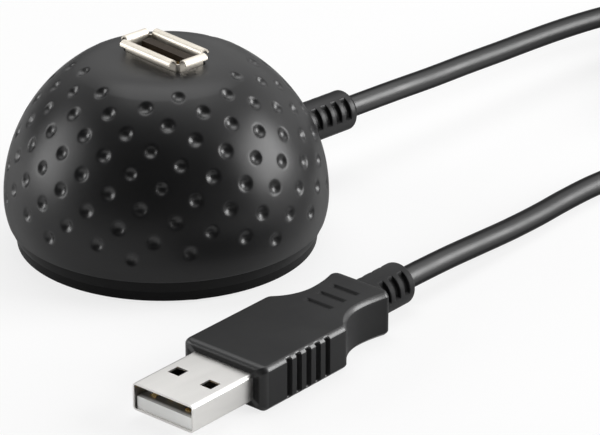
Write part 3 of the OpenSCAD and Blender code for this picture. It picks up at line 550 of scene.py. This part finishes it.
def grip_rows(grip):
    """Rows of the grip's plate in the plug's own axes, from the pocket of the shell to the back.

    Each row is a rectangle of half width a and half height b with blunt bevels of size c:
    x = p (a - c) + c |cos t|^k and z = q (b - c) + c |sin t|^k, with their signs. The half width
    follows the plan: straight block, round corner, a throat circle that touches the corner's,
    the circle behind the waist, and the rounded shoulder. Side grooves take their depth times
    |cos t|^6 off x, so they end below the bevels. Cross grooves take theirs off z between their
    ends. Returns the rows and a 0 to 1 mask of the bevels.
    """
    slope, end_slope, mouth_corner, back_fall = 0.3 * MM, 0.5 * MM, 0.6 * MM, 0.3 * MM
    level_start, level_full = 0.05 * MM, 0.02 * MM
    arc_rows, corner_rows, throat_rows, block_rows, waist_rows = 7, 6, 72, 168, 64
    section_arc, section_flats = 9, (34, 8)
    w, b, r = grip.width / 2, grip.thickness / 2, grip.corner
    front, block, back = grip.front, grip.block_end, grip.shoulder_end
    waist, waist_y = grip.waist / 2, block + grip.waist_at
    inward, behind = w - r - waist, grip.waist_at + r
    throat = (behind ** 2 + inward ** 2 - r ** 2) / (2 * (inward + r))
    tilt = math.atan2(behind, throat - inward)
    quarter = np.linspace(0.0, math.pi / 2, arc_rows)
    turn_in = np.linspace(0.0, tilt, corner_rows)[1:]
    turn_out = np.linspace(tilt, 0.0, throat_rows)[1:]
    block_y = np.linspace(front + r, block - r, block_rows)
    waist_line = np.linspace(waist_y, back - r, waist_rows)[1:]
    hollow = (waist + grip.waist_radius
              - np.sqrt(grip.waist_radius ** 2 - (waist_line - waist_y) ** 2))
    shoulder = hollow[-1]

    def part(y, half_width, half_height=b):
        return np.stack(np.broadcast_arrays(y, half_width, half_height, grip.edge), -1)

    mouth = [grip.mouth_width / 2, grip.mouth_height / 2, mouth_corner]
    start = np.array([[front + grip.mouth_depth, *mouth], [front, *mouth],
                      [front, w - r, b - grip.edge, grip.edge]])
    nose = part(front + r * (1 - np.cos(quarter)), w - r + r * np.sin(quarter),
                b - grip.edge * (1 - np.sin(quarter)))[1:-1]
    table = np.concatenate([
        start, nose, part(block_y, w),
        part(block - r + r * np.sin(turn_in), w - r + r * np.cos(turn_in)),
        part(waist_y - throat * np.sin(turn_out), waist + throat * (1 - np.cos(turn_out))),
        part(waist_line, hollow),
        part(back - r + r * np.sin(quarter), shoulder - r + r * np.cos(quarter),
             b - back_fall * (1 - np.cos(quarter)))[1:]])
    y, a, b_row, c = (table[:, k:k + 1] for k in range(4))
    corners, ways = rounded_rectangle(2.0, 2.0, 0.0, section_arc, section_flats)
    (p, q), (cosine, sine) = corners.T, ways.T
    x = p * (a - c) + c * np.sign(cosine) * np.abs(cosine) ** grip.bluntness
    z = q * (b_row - c) + c * np.sign(sine) * np.abs(sine) ** grip.bluntness
    grooves = front + grip.side_start + np.arange(grip.side_grooves) * grip.side_pitch
    cuts = notch(block_y[:, None] - grooves, grip.groove_width, slope).max(1) * grip.side_depth
    first = len(start) + len(nose)
    x[first:first + len(cuts)] -= cuts[:, None] * np.sign(cosine) * np.abs(cosine) ** 6
    middles = grip.cross_middle + (np.arange(grip.cross_grooves)
                                   - (grip.cross_grooves - 1) / 2) * grip.cross_pitch
    across = notch(x, grip.cross_length, end_slope)
    lengthwise = notch(y[..., None] - middles, grip.groove_width, slope).max(-1)
    level = np.clip((np.abs(z) - (b_row - level_start)) / level_full, 0.0, 1.0)
    z = z - np.sign(z) * grip.cross_depth * across * lengthwise * level
    bevels = np.abs(2 * sine * cosine) + 0 * x
    bevels[len(start):first] = 0.5
    return np.stack([x, y + 0 * x, z], -1), bevels


def plug_place(grip, rows):
    """Rows in the plug's own axes turned and moved to where the plug lies."""
    c, s = math.cos(grip.turn), math.sin(grip.turn)
    turn = np.array([[c, -s, 0.0], [s, c, 0.0], [0.0, 0.0, 1.0]])
    return rows @ turn.T + np.array(grip.tip)


def cable_route(cable, grip, relief):
    """Points of the cable from the dome to the plug: free run, two-layer coil, free run.

    In the coil the radius falls by a pitch each turn to the middle of the winding and grows
    again after it, and the layer drops by a pitch over the half turn in the middle.
    """
    x, y, low = cable.coil_centre
    high, turns, r = low + cable.coil_pitch, cable.coil_turns, cable.coil_radius
    out = np.array([[0, 0, 0], [0, cable.diameter / MM, 0]]) * MM + (0, relief.end, relief.height)
    dock = np.array([
        [-0.1, 52, 10.9], [-0.4, 61, 10.6], [-0.8, 70, 10.4], [-1.2, 79, 10.1], [-1.7, 88, 9.8],
        [-2.1, 97, 9.4], [-2.3, 106, 8.8], [-1.9, 114, 8.1], [-1.1, 121, 7.4]]) * MM
    per_turn = 48
    turn = np.linspace(0.0, turns, int(turns * per_turn) + 1)
    radius = r - cable.coil_pitch * (turns / 2 - np.abs(turn - turns / 2))
    height = high - cable.coil_pitch * ease(2 * (turn - turns / 2) + 0.5)
    angle = math.pi - 2 * math.pi * turn
    coil = np.stack([x + radius * np.cos(angle), y + radius * np.sin(angle), height], -1)
    lead_in = np.array([[x - r, y - cable.diameter, high]])
    lead_out = np.array([[x + r, y - cable.diameter, low]])
    plug = np.array([
        [64.1, 121.5, 2.7], [61.6, 115, 2.5], [57.4, 108.5, 2.3], [52.2, 101.5, 2.1],
        [46.9, 94.5, 2], [42.3, 87, 2], [38.9, 79, 2], [37.1, 71, 2], [36.8, 63, 2],
        [37.6, 55, 2.1], [38.8, 47, 2.2], [39.9, 39, 2.5], [40.9, 31, 3], [41.9, 23, 3.5]]) * MM
    end = plug_place(grip, np.array([[0, grip.tail_end + cable.diameter, 0], [0, grip.tail_end, 0]]))
    return np.vstack([out, dock, lead_in, coil, lead_out, plug, end])


def new_node(tree, kind, *values, settings=None, **named):
    """Shader node with its properties set and its inputs filled, by place or by name.

    Underscores in a name stand for spaces. A socket is linked, and any other value becomes the
    input's own.
    """
    node = tree.nodes.new("ShaderNode" + kind)
    for key, value in (settings or {}).items():
        setattr(node, key, value)
    filled = list(zip(node.inputs, values))
    filled += [(node.inputs[key.replace("_", " ")], value) for key, value in named.items()]
    for socket, value in filled:
        if isinstance(value, bpy.types.NodeSocket):
            tree.links.new(value, socket)
        else:
            socket.default_value = value
    return node


def calculate(tree, operation, *values):
    """Result of a Math node on values and sockets."""
    return new_node(tree, "Math", *values, settings={"operation": operation}).outputs[0]


def remap(tree, value, low, high, to_low=0.0, to_high=1.0, blend="LINEAR"):
    """A value moved from one range to another and held inside it."""
    return new_node(tree, "MapRange", value, low, high, to_low, to_high,
                    settings={"interpolation_type": blend}).outputs["Result"]


def reach_along(tree, vector, way):
    """Dot product of a vector socket with a fixed direction."""
    return new_node(tree, "VectorMath", vector, way,
                    settings={"operation": "DOT_PRODUCT"}).outputs["Value"]


def new_group(name, inputs, outputs):
    """Node group with named sockets, and the sockets of its input and output nodes."""
    group = bpy.data.node_groups.new(name, "ShaderNodeTree")
    for way, sockets in (("INPUT", inputs), ("OUTPUT", outputs)):
        for label, kind in sockets.items():
            group.interface.new_socket(label, in_out=way, socket_type="NodeSocket" + kind)
    given, result = (group.nodes.new(kind) for kind in ("NodeGroupInput", "NodeGroupOutput"))
    return group, given.outputs, result.inputs


def grain_group(name):
    """Shared group: fine grain as a height, and slow mottle as a 0 to 1 value."""
    group, given, result = new_group(
        name, {"Vector": "Vector", "Grain Scale": "Float", "Mottle Scale": "Float"},
        {"Height": "Float", "Mottle": "Float"})
    fine = new_node(group, "TexNoise", Vector=given["Vector"], Scale=given["Grain Scale"],
                    Detail=3.0, Roughness=0.6)
    slow = new_node(group, "TexNoise", Vector=given["Vector"], Scale=given["Mottle Scale"],
                    Detail=4.0, Roughness=0.55)
    group.links.new(fine.outputs[0], result["Height"])
    group.links.new(remap(group, slow.outputs[0], 0.3, 0.7), result["Mottle"])
    return group


def tone_group(name):
    """Shared group: a colour made lighter and darker by a mask, over a spread each way."""
    group, given, result = new_group(
        name, {"Colour": "Color", "Mask": "Float", "Spread": "Float"}, {"Colour": "Color"})
    centred = calculate(group, "MULTIPLY_ADD", given["Mask"], 2.0, -1.0)
    scaled = calculate(group, "MULTIPLY_ADD", centred, given["Spread"], 1.0)
    tone = new_node(group, "HueSaturation", Value=scaled, Color=given["Colour"])
    group.links.new(tone.outputs["Color"], result["Colour"])
    return group


def group_node(tree, name, build, **named):
    """Node that places a shared group, which is built the first time it is asked for."""
    group = bpy.data.node_groups.get(name) or build(name)
    return new_node(tree, "Group", settings={"node_tree": group}, **named)


class Finish:
    """Material in the making: a Principled shader with the shared grain and tone on it."""

    def __init__(self, name, value, roughness, metallic=0.0, specular=0.5, grain=3000.0,
                 mottle=90.0, spread=0.12, gloss_spread=0.06, bump=0.1, bump_depth=0.02,
                 stretch=None):
        self.slot = name
        self.material = bpy.data.materials.new(name)
        self.material.use_nodes = True
        tree = self.tree = self.material.node_tree
        self.shader = tree.nodes["Principled BSDF"]
        self.shader.inputs["Metallic"].default_value = metallic
        self.shader.inputs["Specular IOR Level"].default_value = specular
        self.vector = new_node(tree, "TexCoord").outputs["Object"]
        if stretch:
            mapping = new_node(tree, "Mapping", self.vector, Rotation=stretch[0], Scale=stretch[1])
            self.vector = mapping.outputs["Vector"]
        grains = group_node(tree, "surface_grain", grain_group, Vector=self.vector,
                            Grain_Scale=grain, Mottle_Scale=mottle)
        patches = grains.outputs["Mottle"]
        tone = group_node(tree, "tone_shift", tone_group, Colour=(*value, 1.0), Mask=patches,
                          Spread=spread)
        self.set_colour(tone.outputs["Colour"])
        self.link(remap(tree, patches, 0.0, 1.0, roughness - gloss_spread,
                        roughness + gloss_spread), "Roughness")
        self.bump = new_node(tree, "Bump", Strength=bump, Distance=bump_depth * MM)
        self.set_height(grains.outputs["Height"])
        self.link(self.bump.outputs["Normal"], "Normal")

    def link(self, socket, name):
        """Links a socket to one of the shader's inputs."""
        self.tree.links.new(socket, self.shader.inputs[name])

    def set_colour(self, socket):
        """Links a colour to the shader."""
        self.colour = socket
        self.link(socket, "Base Color")

    def set_height(self, socket):
        """Links a height to the bump."""
        self.height = socket
        self.tree.links.new(socket, self.bump.inputs["Height"])

    def tint(self, mask, value, amount):
        """Mixes another colour in where a mask is 1."""
        mix = new_node(self.tree, "Mix", calculate(self.tree, "MULTIPLY", mask, amount),
                       settings={"data_type": "RGBA"})
        self.tree.links.new(self.colour, mix.inputs[COLOUR_A])
        mix.inputs[COLOUR_B].default_value = (*value, 1.0)
        self.set_colour(mix.outputs[COLOUR_RESULT])

    def polish(self, attribute, weight, roughness):
        """Adds a smoother clear coat where the piece's attribute is 1, as where handling wears it."""
        mask = new_node(self.tree, "Attribute", settings={"attribute_name": attribute}).outputs["Fac"]
        self.link(calculate(self.tree, "MULTIPLY", mask, weight), "Coat Weight")
        self.shader.inputs["Coat Roughness"].default_value = roughness

    def dull_rim(self, start, end, least=0.03):
        """Takes the shine down at grazing view, where the moulded grain hides it."""
        specular = self.shader.inputs["Specular IOR Level"].default_value
        view = new_node(self.tree, "LayerWeight", Blend=0.5).outputs["Facing"]
        self.link(remap(self.tree, view, start, end, specular, least, "SMOOTHSTEP"),
                  "Specular IOR Level")

    def waves(self, scale, bands="X", share=0.5, kind="BANDS"):
        """Adds even ridges to the height."""
        way = "bands_direction" if kind == "BANDS" else "rings_direction"
        wave = new_node(self.tree, "TexWave", Vector=self.vector, Scale=scale, Distortion=0.0,
                        settings={"wave_type": kind, "wave_profile": "SIN", way: bands})
        self.set_height(calculate(self.tree, "MULTIPLY_ADD", wave.outputs["Fac"], share, self.height))


class DockOperator:
    """What the dock's operators share."""
    bl_options = {"REGISTER", "UNDO"}


class DOCK_OT_dome(DockOperator, Operator):
    """Build the dimpled dome with its flat top and the posts inside it"""
    bl_idname = "dock.dome"
    bl_label = "Dome"

    def execute(self, context):
        scene = context.scene
        dome, slot = scene.dock_dome, scene.dock_slot
        finish = Finish("dome_plastic", scene.dock_finish.dome, 0.36, specular=0.29, grain=2600.0,
                        mottle=60.0, spread=0.1, gloss_spread=0.05, bump=0.12, bump_depth=0.03)
        finish.dull_rim(0.5, 0.85)
        finish.polish("dimple", 0.42, 0.33)
        rows, mask = dome_skin(dome, slot, scene.dock_relief)
        piece = make_piece("dome_skin", [shell(rows, wrap=True)], finish, "dome_shell")
        paint(piece, "dimple", mask)
        make_piece("dome_posts", self.posts(dome, scene.dock_inside), finish)
        return {"FINISHED"}

    def posts(self, dome, room):
        """Screw posts under the dome: straight tubes whose top ring lies in the middle of the wall.

        A point of the top ring has height mid + sqrt(R^2 - x^2 - y^2), or that of the flat top's
        wall if it is lower.
        """
        reach, mid = dome.diameter / 2 - dome.wall / 2, dome.mid_height
        places = [(room.post_ring * math.cos(a), room.post_ring * math.sin(a), room.post_low,
                   room.post_radius, room.post_bore) for a in np.radians([30.0, 150.0, 270.0])]
        places += [(x, 0.0, room.board_top, room.board_post_radius, room.board_post_bore)
                   for x in (-room.board_post_x, room.board_post_x)]
        angle = np.linspace(0.0, 2 * math.pi, POST_POINTS, endpoint=False)
        shells = []
        for x, y, low, outer, bore in places:
            radius = np.array([bore, bore, outer, outer])[:, None]
            px, py = x + radius * np.cos(angle), y + radius * np.sin(angle)
            roof = np.minimum(mid + np.sqrt(reach ** 2 - px ** 2 - py ** 2),
                              mid + reach - dome.crown_cut)
            height = np.array([low + room.hole_depth, low, low])[:, None] + 0 * angle
            shells.append(shell(np.stack([px, py, np.vstack([height, roof[-1:]])], -1)))
        return shells


class DOCK_OT_base(DockOperator, Operator):
    """Finish the base, its screws and feet and the ballast"""
    bl_idname = "dock.base"
    bl_label = "Base"

    def execute(self, context):
        finishes = context.scene.dock_finish
        dress(Finish("base_plastic", finishes.base, 0.5, specular=0.1, grain=1900.0, bump=0.2),
              "base_plate")
        dress(Finish("foot_rubber", (0.012, 0.012, 0.012), 0.8, specular=0.25, grain=1500.0,
                     bump=0.35, bump_depth=0.05), "rubber_feet")
        dress(Finish("screw_steel", (0.50, 0.51, 0.53), 0.34, metallic=1.0, grain=2500.0,
                     mottle=300.0), "base_screws", "board_screws")
        ballast = Finish("ballast_steel", (0.46, 0.46, 0.47), 0.4, metallic=1.0, mottle=120.0)
        ballast.waves(700.0, bands="Z", share=1.0, kind="RINGS")
        dress(ballast, "ballast_weight")
        return {"FINISHED"}


class DOCK_OT_socket(DockOperator, Operator):
    """Finish the socket in the flat top and the board that carries it"""
    bl_idname = "dock.socket"
    bl_label = "Socket"

    def execute(self, context):
        dress(Finish("socket_nickel", context.scene.dock_finish.nickel, 0.5, metallic=1.0,
                     grain=900.0, mottle=220.0, spread=0.08, gloss_spread=0.07, bump=0.06),
              "socket_shell")
        dress(Finish("socket_plastic", (0.024, 0.015, 0.008), 0.6, specular=0.2, grain=2500.0),
              "socket_insulator")
        dress(Finish("contact_gold", (0.83, 0.58, 0.22), 0.26, metallic=1.0, grain=2500.0,
                     mottle=400.0), "socket_contacts", "plug_contacts")
        board = Finish("board_green", (0.018, 0.105, 0.036), 0.36, mottle=250.0, bump=0.3)
        for bands in "XY":
            board.waves(2200.0, bands=bands)
        dress(board, "socket_board")
        return {"FINISHED"}


class DOCK_OT_relief(DockOperator, Operator):
    """Build the ribbed sleeve where the cable leaves the dome"""
    bl_idname = "dock.relief"
    bl_label = "Strain relief"

    def execute(self, context):
        scene = context.scene
        relief, cable = scene.dock_relief, scene.dock_cable
        rubber = Finish("relief_rubber", scene.dock_finish.relief, 0.4, specular=0.35, grain=2200.0,
                        bump=0.15)
        rubber.dull_rim(0.3, 0.7)
        bore = cable.diameter / 2
        sleeve = ribbed(relief.start - relief.root, relief.end, relief.radius, relief.groove_pitch,
                        relief.grooves, relief.groove_depth, bore,
                        collar=(relief.collar, relief.start + relief.collar_length))
        inner, outer = relief.start - relief.flange_start, relief.start - relief.neck_end
        step = inner + relief.flange_thickness
        neck = soften([[inner, bore], [inner, relief.flange_radius], [step, relief.flange_radius],
                       [step, relief.neck_radius], [outer, relief.neck_radius], [outer, bore]],
                      relief.rounding)
        lift = np.array([0.0, 0.0, relief.height])
        shells = [shell(turned(line, SLEEVE_POINTS) + lift, wrap=True) for line in (sleeve, neck)]
        make_piece("relief_sleeve", shells, rubber, "strain_relief")
        return {"FINISHED"}


class DOCK_OT_plug(DockOperator, Operator):
    """Build the plug's moulded grip and finish its shell, insulator and insides"""
    bl_idname = "dock.plug"
    bl_label = "Plug"

    def execute(self, context):
        scene = context.scene
        grip, cable = scene.dock_grip, scene.dock_cable
        moulded = Finish("grip_plastic", scene.dock_finish.grip, 0.62, specular=0.22, grain=2100.0,
                         mottle=110.0, bump=0.16, bump_depth=0.03)
        moulded.polish("edge", 1.0, 0.3)
        plate, bevels = grip_rows(grip)
        line = ribbed(grip.shoulder_end - grip.tail_root, grip.tail_end, grip.tail_radius,
                      grip.tail_pitch, grip.tail_grooves, grip.tail_depth, cable.diameter / 2)
        tail = turned(line, SLEEVE_POINTS)
        shells = [shell(plug_place(grip, plate)), shell(plug_place(grip, tail), wrap=True)]
        piece = make_piece("plug_grip", shells, moulded, "plug_overmould")
        paint(piece, "edge", bevels)
        drawn = ((0.0, 0.0, -grip.turn), (1.0, 0.12, 1.0))
        dress(Finish("plug_steel", scene.dock_finish.steel, 0.36, metallic=1.0, grain=500.0,
                     mottle=140.0, spread=0.06, bump=0.05, stretch=drawn), "plug_shell")
        white = Finish("plug_white", scene.dock_finish.insulator, 0.42, grain=2600.0, spread=0.03)
        # Painted shade: the insulator's colour fades to near-black from half this depth behind the tip
        # to the full depth, as shade inside the plug's mouth.
        inward = Vector((-math.sin(grip.turn), math.cos(grip.turn), 0.0))
        mouth = inward.dot(Vector(grip.tip))
        painted_shade = remap(white.tree, reach_along(white.tree, white.vector, inward),
                     mouth + 0.5 * grip.painted_shade_depth, mouth + grip.painted_shade_depth)
        white.tint(painted_shade, (0.03, 0.026, 0.02), 0.95)
        dress(white, "plug_insulator")
        dress(Finish("inner_mould", (0.66, 0.63, 0.54), 0.5, grain=1500.0, spread=0.05),
              "plug_inner_mould")
        return {"FINISHED"}


class DOCK_OT_cable(DockOperator, Operator):
    """Build the cable with its coil, the strap round it and the cores inside the dome"""
    bl_idname = "dock.cable"
    bl_label = "Cable"

    def execute(self, context):
        scene = context.scene
        cable, grip, relief = scene.dock_cable, scene.dock_grip, scene.dock_relief
        jacket = Finish("cable_jacket", scene.dock_finish.jacket, 0.46, specular=0.75, grain=1200.0,
                        mottle=160.0, spread=0.1, gloss_spread=0.05, bump=0.1, bump_depth=0.03)
        jacket.dull_rim(0.26, 0.6)
        path = smooth_route(cable_route(cable, grip, relief), cable.step)
        rows = tube(path, cable.diameter / 2, CABLE_POINTS)
        cord = make_piece("usb_cable", [shell(rows)], jacket, "cable_dock_run", "cable_coil",
                          "cable_plug_run")
        dress(jacket, "cable_tail", "plug_tail")
        strap = self.strap(cable)
        self.cores(scene.dock_inside, relief)
        return {"FINISHED"}

    def strap(self, cable):
        """Woven strap: a flat section with round edges, carried round the bundle of turns.

        Point: loop + normal a in the upright plane and b across it, for (a, b) on the section.
        The outermost and the innermost turn pass it after the two numbers of turns named here.
        """
        woven = Finish("tie_strap", (0.016, 0.016, 0.017), 0.85, specular=0.2, grain=2500.0,
                       bump=0.6, bump_depth=0.15)
        woven.waves(900.0, bands="X", share=1.0)
        woven.waves(900.0, bands="DIAGONAL", share=0.6)
        x, y, low = cable.coil_centre
        r, pitch, gap = cable.coil_radius, cable.coil_pitch, cable.strap_gap + cable.strap_thickness / 2
        half = cable.diameter / 2
        outer_turn, inner_turn = 0.75, cable.coil_turns / 2 - 0.5
        inner = r - pitch * inner_turn - half - gap
        outer = r - pitch * outer_turn + half + gap
        bottom, top = low - half - gap, low + pitch + half + gap
        loop, normal = rounded_rectangle(outer - inner, top - bottom,
                                         cable.strap_bend + cable.strap_thickness / 2, 9, (12, 12))
        centre = np.array([x, y - (inner + outer) / 2, (bottom + top) / 2])
        section, _ = rounded_rectangle(cable.strap_thickness, cable.strap_width, cable.strap_edge,
                                       5, (6, 6))
        upright = loop[:, None] + normal[:, None] * section[:, :1]
        across = np.broadcast_to(section[:, 1:], upright[..., :1].shape)
        rows = np.concatenate([across, upright], -1) + centre
        return make_piece("strap", [shell(rows, wrap=True)], woven, "coil_tie").name

    def cores(self, room, relief):
        """The four cores: smooth tubes from the jacket's end to the board's pads."""
        lay = (("wire_red", (0.42, 0.016, 0.012), -1, 1, -1.5),
               ("wire_white", (0.76, 0.75, 0.71), -1, -1, -0.5),
               ("wire_green", (0.02, 0.21, 0.03), 1, -1, 0.5),
               ("wire_black", (0.012, 0.012, 0.012), 1, 1, 1.5))
        start, pad, floor = room.jacket_end, room.pad_row, room.board_low
        stub, width = room.core_stub, room.core_width
        for name, tint, column, row, place in lay:
            x0, x1 = room.core_lay * column, room.pad_pitch * place
            z0 = relief.height + room.core_lay * row
            points = np.array([
                [x0, start, z0], [x0, start - stub, z0],
                [(x0 + x1) / 2, (start + pad + stub) / 2 + width, z0 + width / 2],
                [x1, pad + 2 * stub, (z0 + floor) / 2 - width / 2],
                [x1, pad + stub / 4, floor - 1.5 * stub], [x1, pad, floor - 0.8 * stub],
                [x1, pad, floor]])
            path = smooth_route(points, room.core_step)
            finish = Finish(name, tint, 0.36, grain=2000.0, mottle=400.0, spread=0.08)
            rows = tube(path, width / 2, CORE_POINTS, (1.0, 0.0, 0.0))
            make_piece("core_" + name[5:], [shell(rows)], finish, name)


def direction(azimuth, elevation):
    """Unit vector towards an azimuth, from -Y through +X, and an elevation, in radians."""
    flat = math.cos(elevation)
    return Vector((math.sin(azimuth) * flat, -math.cos(azimuth) * flat, math.sin(elevation)))


class DOCK_OT_stage(DockOperator, Operator):
    """Set up the floor, the soft lights and the camera"""
    bl_idname = "dock.stage"
    bl_label = "Stage"

    def execute(self, context):
        scene = context.scene
        stage = scene.dock_stage
        scene.view_settings.view_transform = "Standard"
        lens = bpy.data.cameras.new("camera")
        lens.lens = stage.lens
        lens.sensor_width = 36.0
        lens.sensor_fit = "HORIZONTAL"
        lens.clip_start = 0.01
        scene.camera = self.aimed(stage, lens, stage.azimuth, stage.elevation, stage.distance)
        self.floor(scene, stage)
        self.sky(scene, stage)
        for name, azimuth, elevation, distance, size, power in (
                ("light_right", 136.0, 23.0, 0.62, (0.38, 0.34), 4.4),
                ("light_left", -47.0, 17.0, 0.62, (0.32, 0.34), 2.2),
                ("light_top", 227.0, 72.0, 0.66, (0.6, 0.44), 2.1)):
            lamp = bpy.data.lights.new(name, "AREA")
            lamp.shape = "RECTANGLE"
            lamp.size, lamp.size_y = size
            lamp.energy = power
            self.aimed(stage, lamp, math.radians(azimuth), math.radians(elevation), distance)
        return {"FINISHED"}

    def aimed(self, stage, data, azimuth, elevation, distance):
        """Object for a camera or a lamp, on a sphere round the target and turned towards it."""
        away = direction(azimuth, elevation)
        placed = bpy.data.objects.new(data.name, data)
        placed.location = Vector(stage.target) + distance * away
        placed.rotation_euler = (-away).to_track_quat("-Z", "Y").to_euler()
        bpy.context.scene.collection.objects.link(placed)
        return placed

    def background_rays(self, tree, mirrored=1.0):
        """1 for camera rays and a share for glossy and transmission rays, which see it white too."""
        rays = new_node(tree, "LightPath").outputs
        bounced = calculate(tree, "MAXIMUM", rays["Is Glossy Ray"], rays["Is Transmission Ray"])
        share = calculate(tree, "MULTIPLY", bounced, mirrored)
        return calculate(tree, "MAXIMUM", share, rays["Is Camera Ray"])

    def floor(self, scene, stage):
        """Pale floor: mostly plain white to the camera, and lit so that it keeps a soft shadow."""
        reach, lines = 3.0, 13
        span = np.linspace(-reach, reach, lines)
        x, y = np.meshgrid(span, span)
        points = np.stack([x, y, 0 * x], -1).reshape(-1, 3)
        index = np.arange(x.size).reshape(x.shape)
        quads = np.stack([index[:-1, :-1], index[:-1, 1:], index[1:, 1:], index[1:, :-1]], -1)
        mesh = bpy.data.meshes.new("floor")
        mesh.from_pydata(points.tolist(), [], quads.reshape(-1, 4).tolist())
        material = bpy.data.materials.new("floor_white")
        material.use_nodes = True
        tree = material.node_tree
        matt = tree.nodes["Principled BSDF"]
        matt.inputs["Base Color"].default_value = (0.95, 0.95, 0.95, 1.0)
        matt.inputs["Roughness"].default_value = 0.9
        matt.inputs["Specular IOR Level"].default_value = 0.0
        glow = new_node(tree, "Emission", WHITE, 1.0)
        share = calculate(tree, "MULTIPLY", self.background_rays(tree, stage.floor_mirror),
                          stage.floor_glow)
        mix = new_node(tree, "MixShader", share, matt.outputs[0], glow.outputs[0])
        tree.links.new(mix.outputs[0], tree.nodes["Material Output"].inputs["Surface"])
        mesh.materials.append(material)
        floor = bpy.data.objects.new("floor", mesh)
        scene.collection.objects.link(floor)

    def sky(self, scene, stage):
        """Even pale light; plain white behind the dock, and dim behind the camera in reflections."""
        world = bpy.data.worlds.new("sky")
        world.use_nodes = True
        tree = world.node_tree
        light = tree.nodes["Background"]
        light.inputs["Color"].default_value = WHITE
        light.inputs["Strength"].default_value = stage.sky
        place = new_node(tree, "TexCoord").outputs["Generated"]
        towards = reach_along(tree, place, direction(stage.bright_side, stage.bright_rise))
        dim_end, bright_start = 0.3, 0.8
        fade = remap(tree, towards, dim_end, bright_start, stage.dim_side, 1.0, "SMOOTHSTEP")
        seen = new_node(tree, "LightPath").outputs["Is Camera Ray"]
        white = new_node(tree, "Background", WHITE, calculate(tree, "MAXIMUM", fade, seen))
        mix = new_node(tree, "MixShader", self.background_rays(tree), light.outputs[0],
                       white.outputs[0])
        tree.links.new(mix.outputs[0], tree.nodes["World Output"].inputs["Surface"])
        scene.world = world


OPERATORS = (DOCK_OT_stage, DOCK_OT_relief, DOCK_OT_plug, DOCK_OT_cable, DOCK_OT_dome,
             DOCK_OT_base, DOCK_OT_socket)
GROUPS = {"dock_dome": DomeShape, "dock_slot": SocketSlot, "dock_inside": InsideShape,
          "dock_relief": ReliefShape, "dock_cable": CableShape, "dock_grip": GripShape,
          "dock_finish": Finishes, "dock_stage": StageSettings}


class DOCK_PT_panel(Panel):
    """Sidebar panel with the dock's pieces"""
    bl_idname = "DOCK_PT_panel"
    bl_label = "Dome USB dock"
    bl_space_type = "VIEW_3D"
    bl_region_type = "UI"
    bl_category = "Dock"

    def draw(self, context):
        for operator in OPERATORS:
            self.layout.operator(operator.bl_idname)


def register():
    for name, group in GROUPS.items():
        bpy.utils.register_class(group)
        setattr(bpy.types.Scene, name, PointerProperty(type=group))
    for operator in OPERATORS:
        bpy.utils.register_class(operator)
    bpy.utils.register_class(DOCK_PT_panel)


def unregister():
    bpy.utils.unregister_class(DOCK_PT_panel)
    for operator in reversed(OPERATORS):
        bpy.utils.unregister_class(operator)
    for name, group in reversed(list(GROUPS.items())):
        delattr(bpy.types.Scene, name)
        bpy.utils.unregister_class(group)


def main():
    register()
    for operator in OPERATORS:
        group, name = operator.bl_idname.split(".")
        getattr(getattr(bpy.ops, group), name)()


if __name__ == "__main__":
    main()
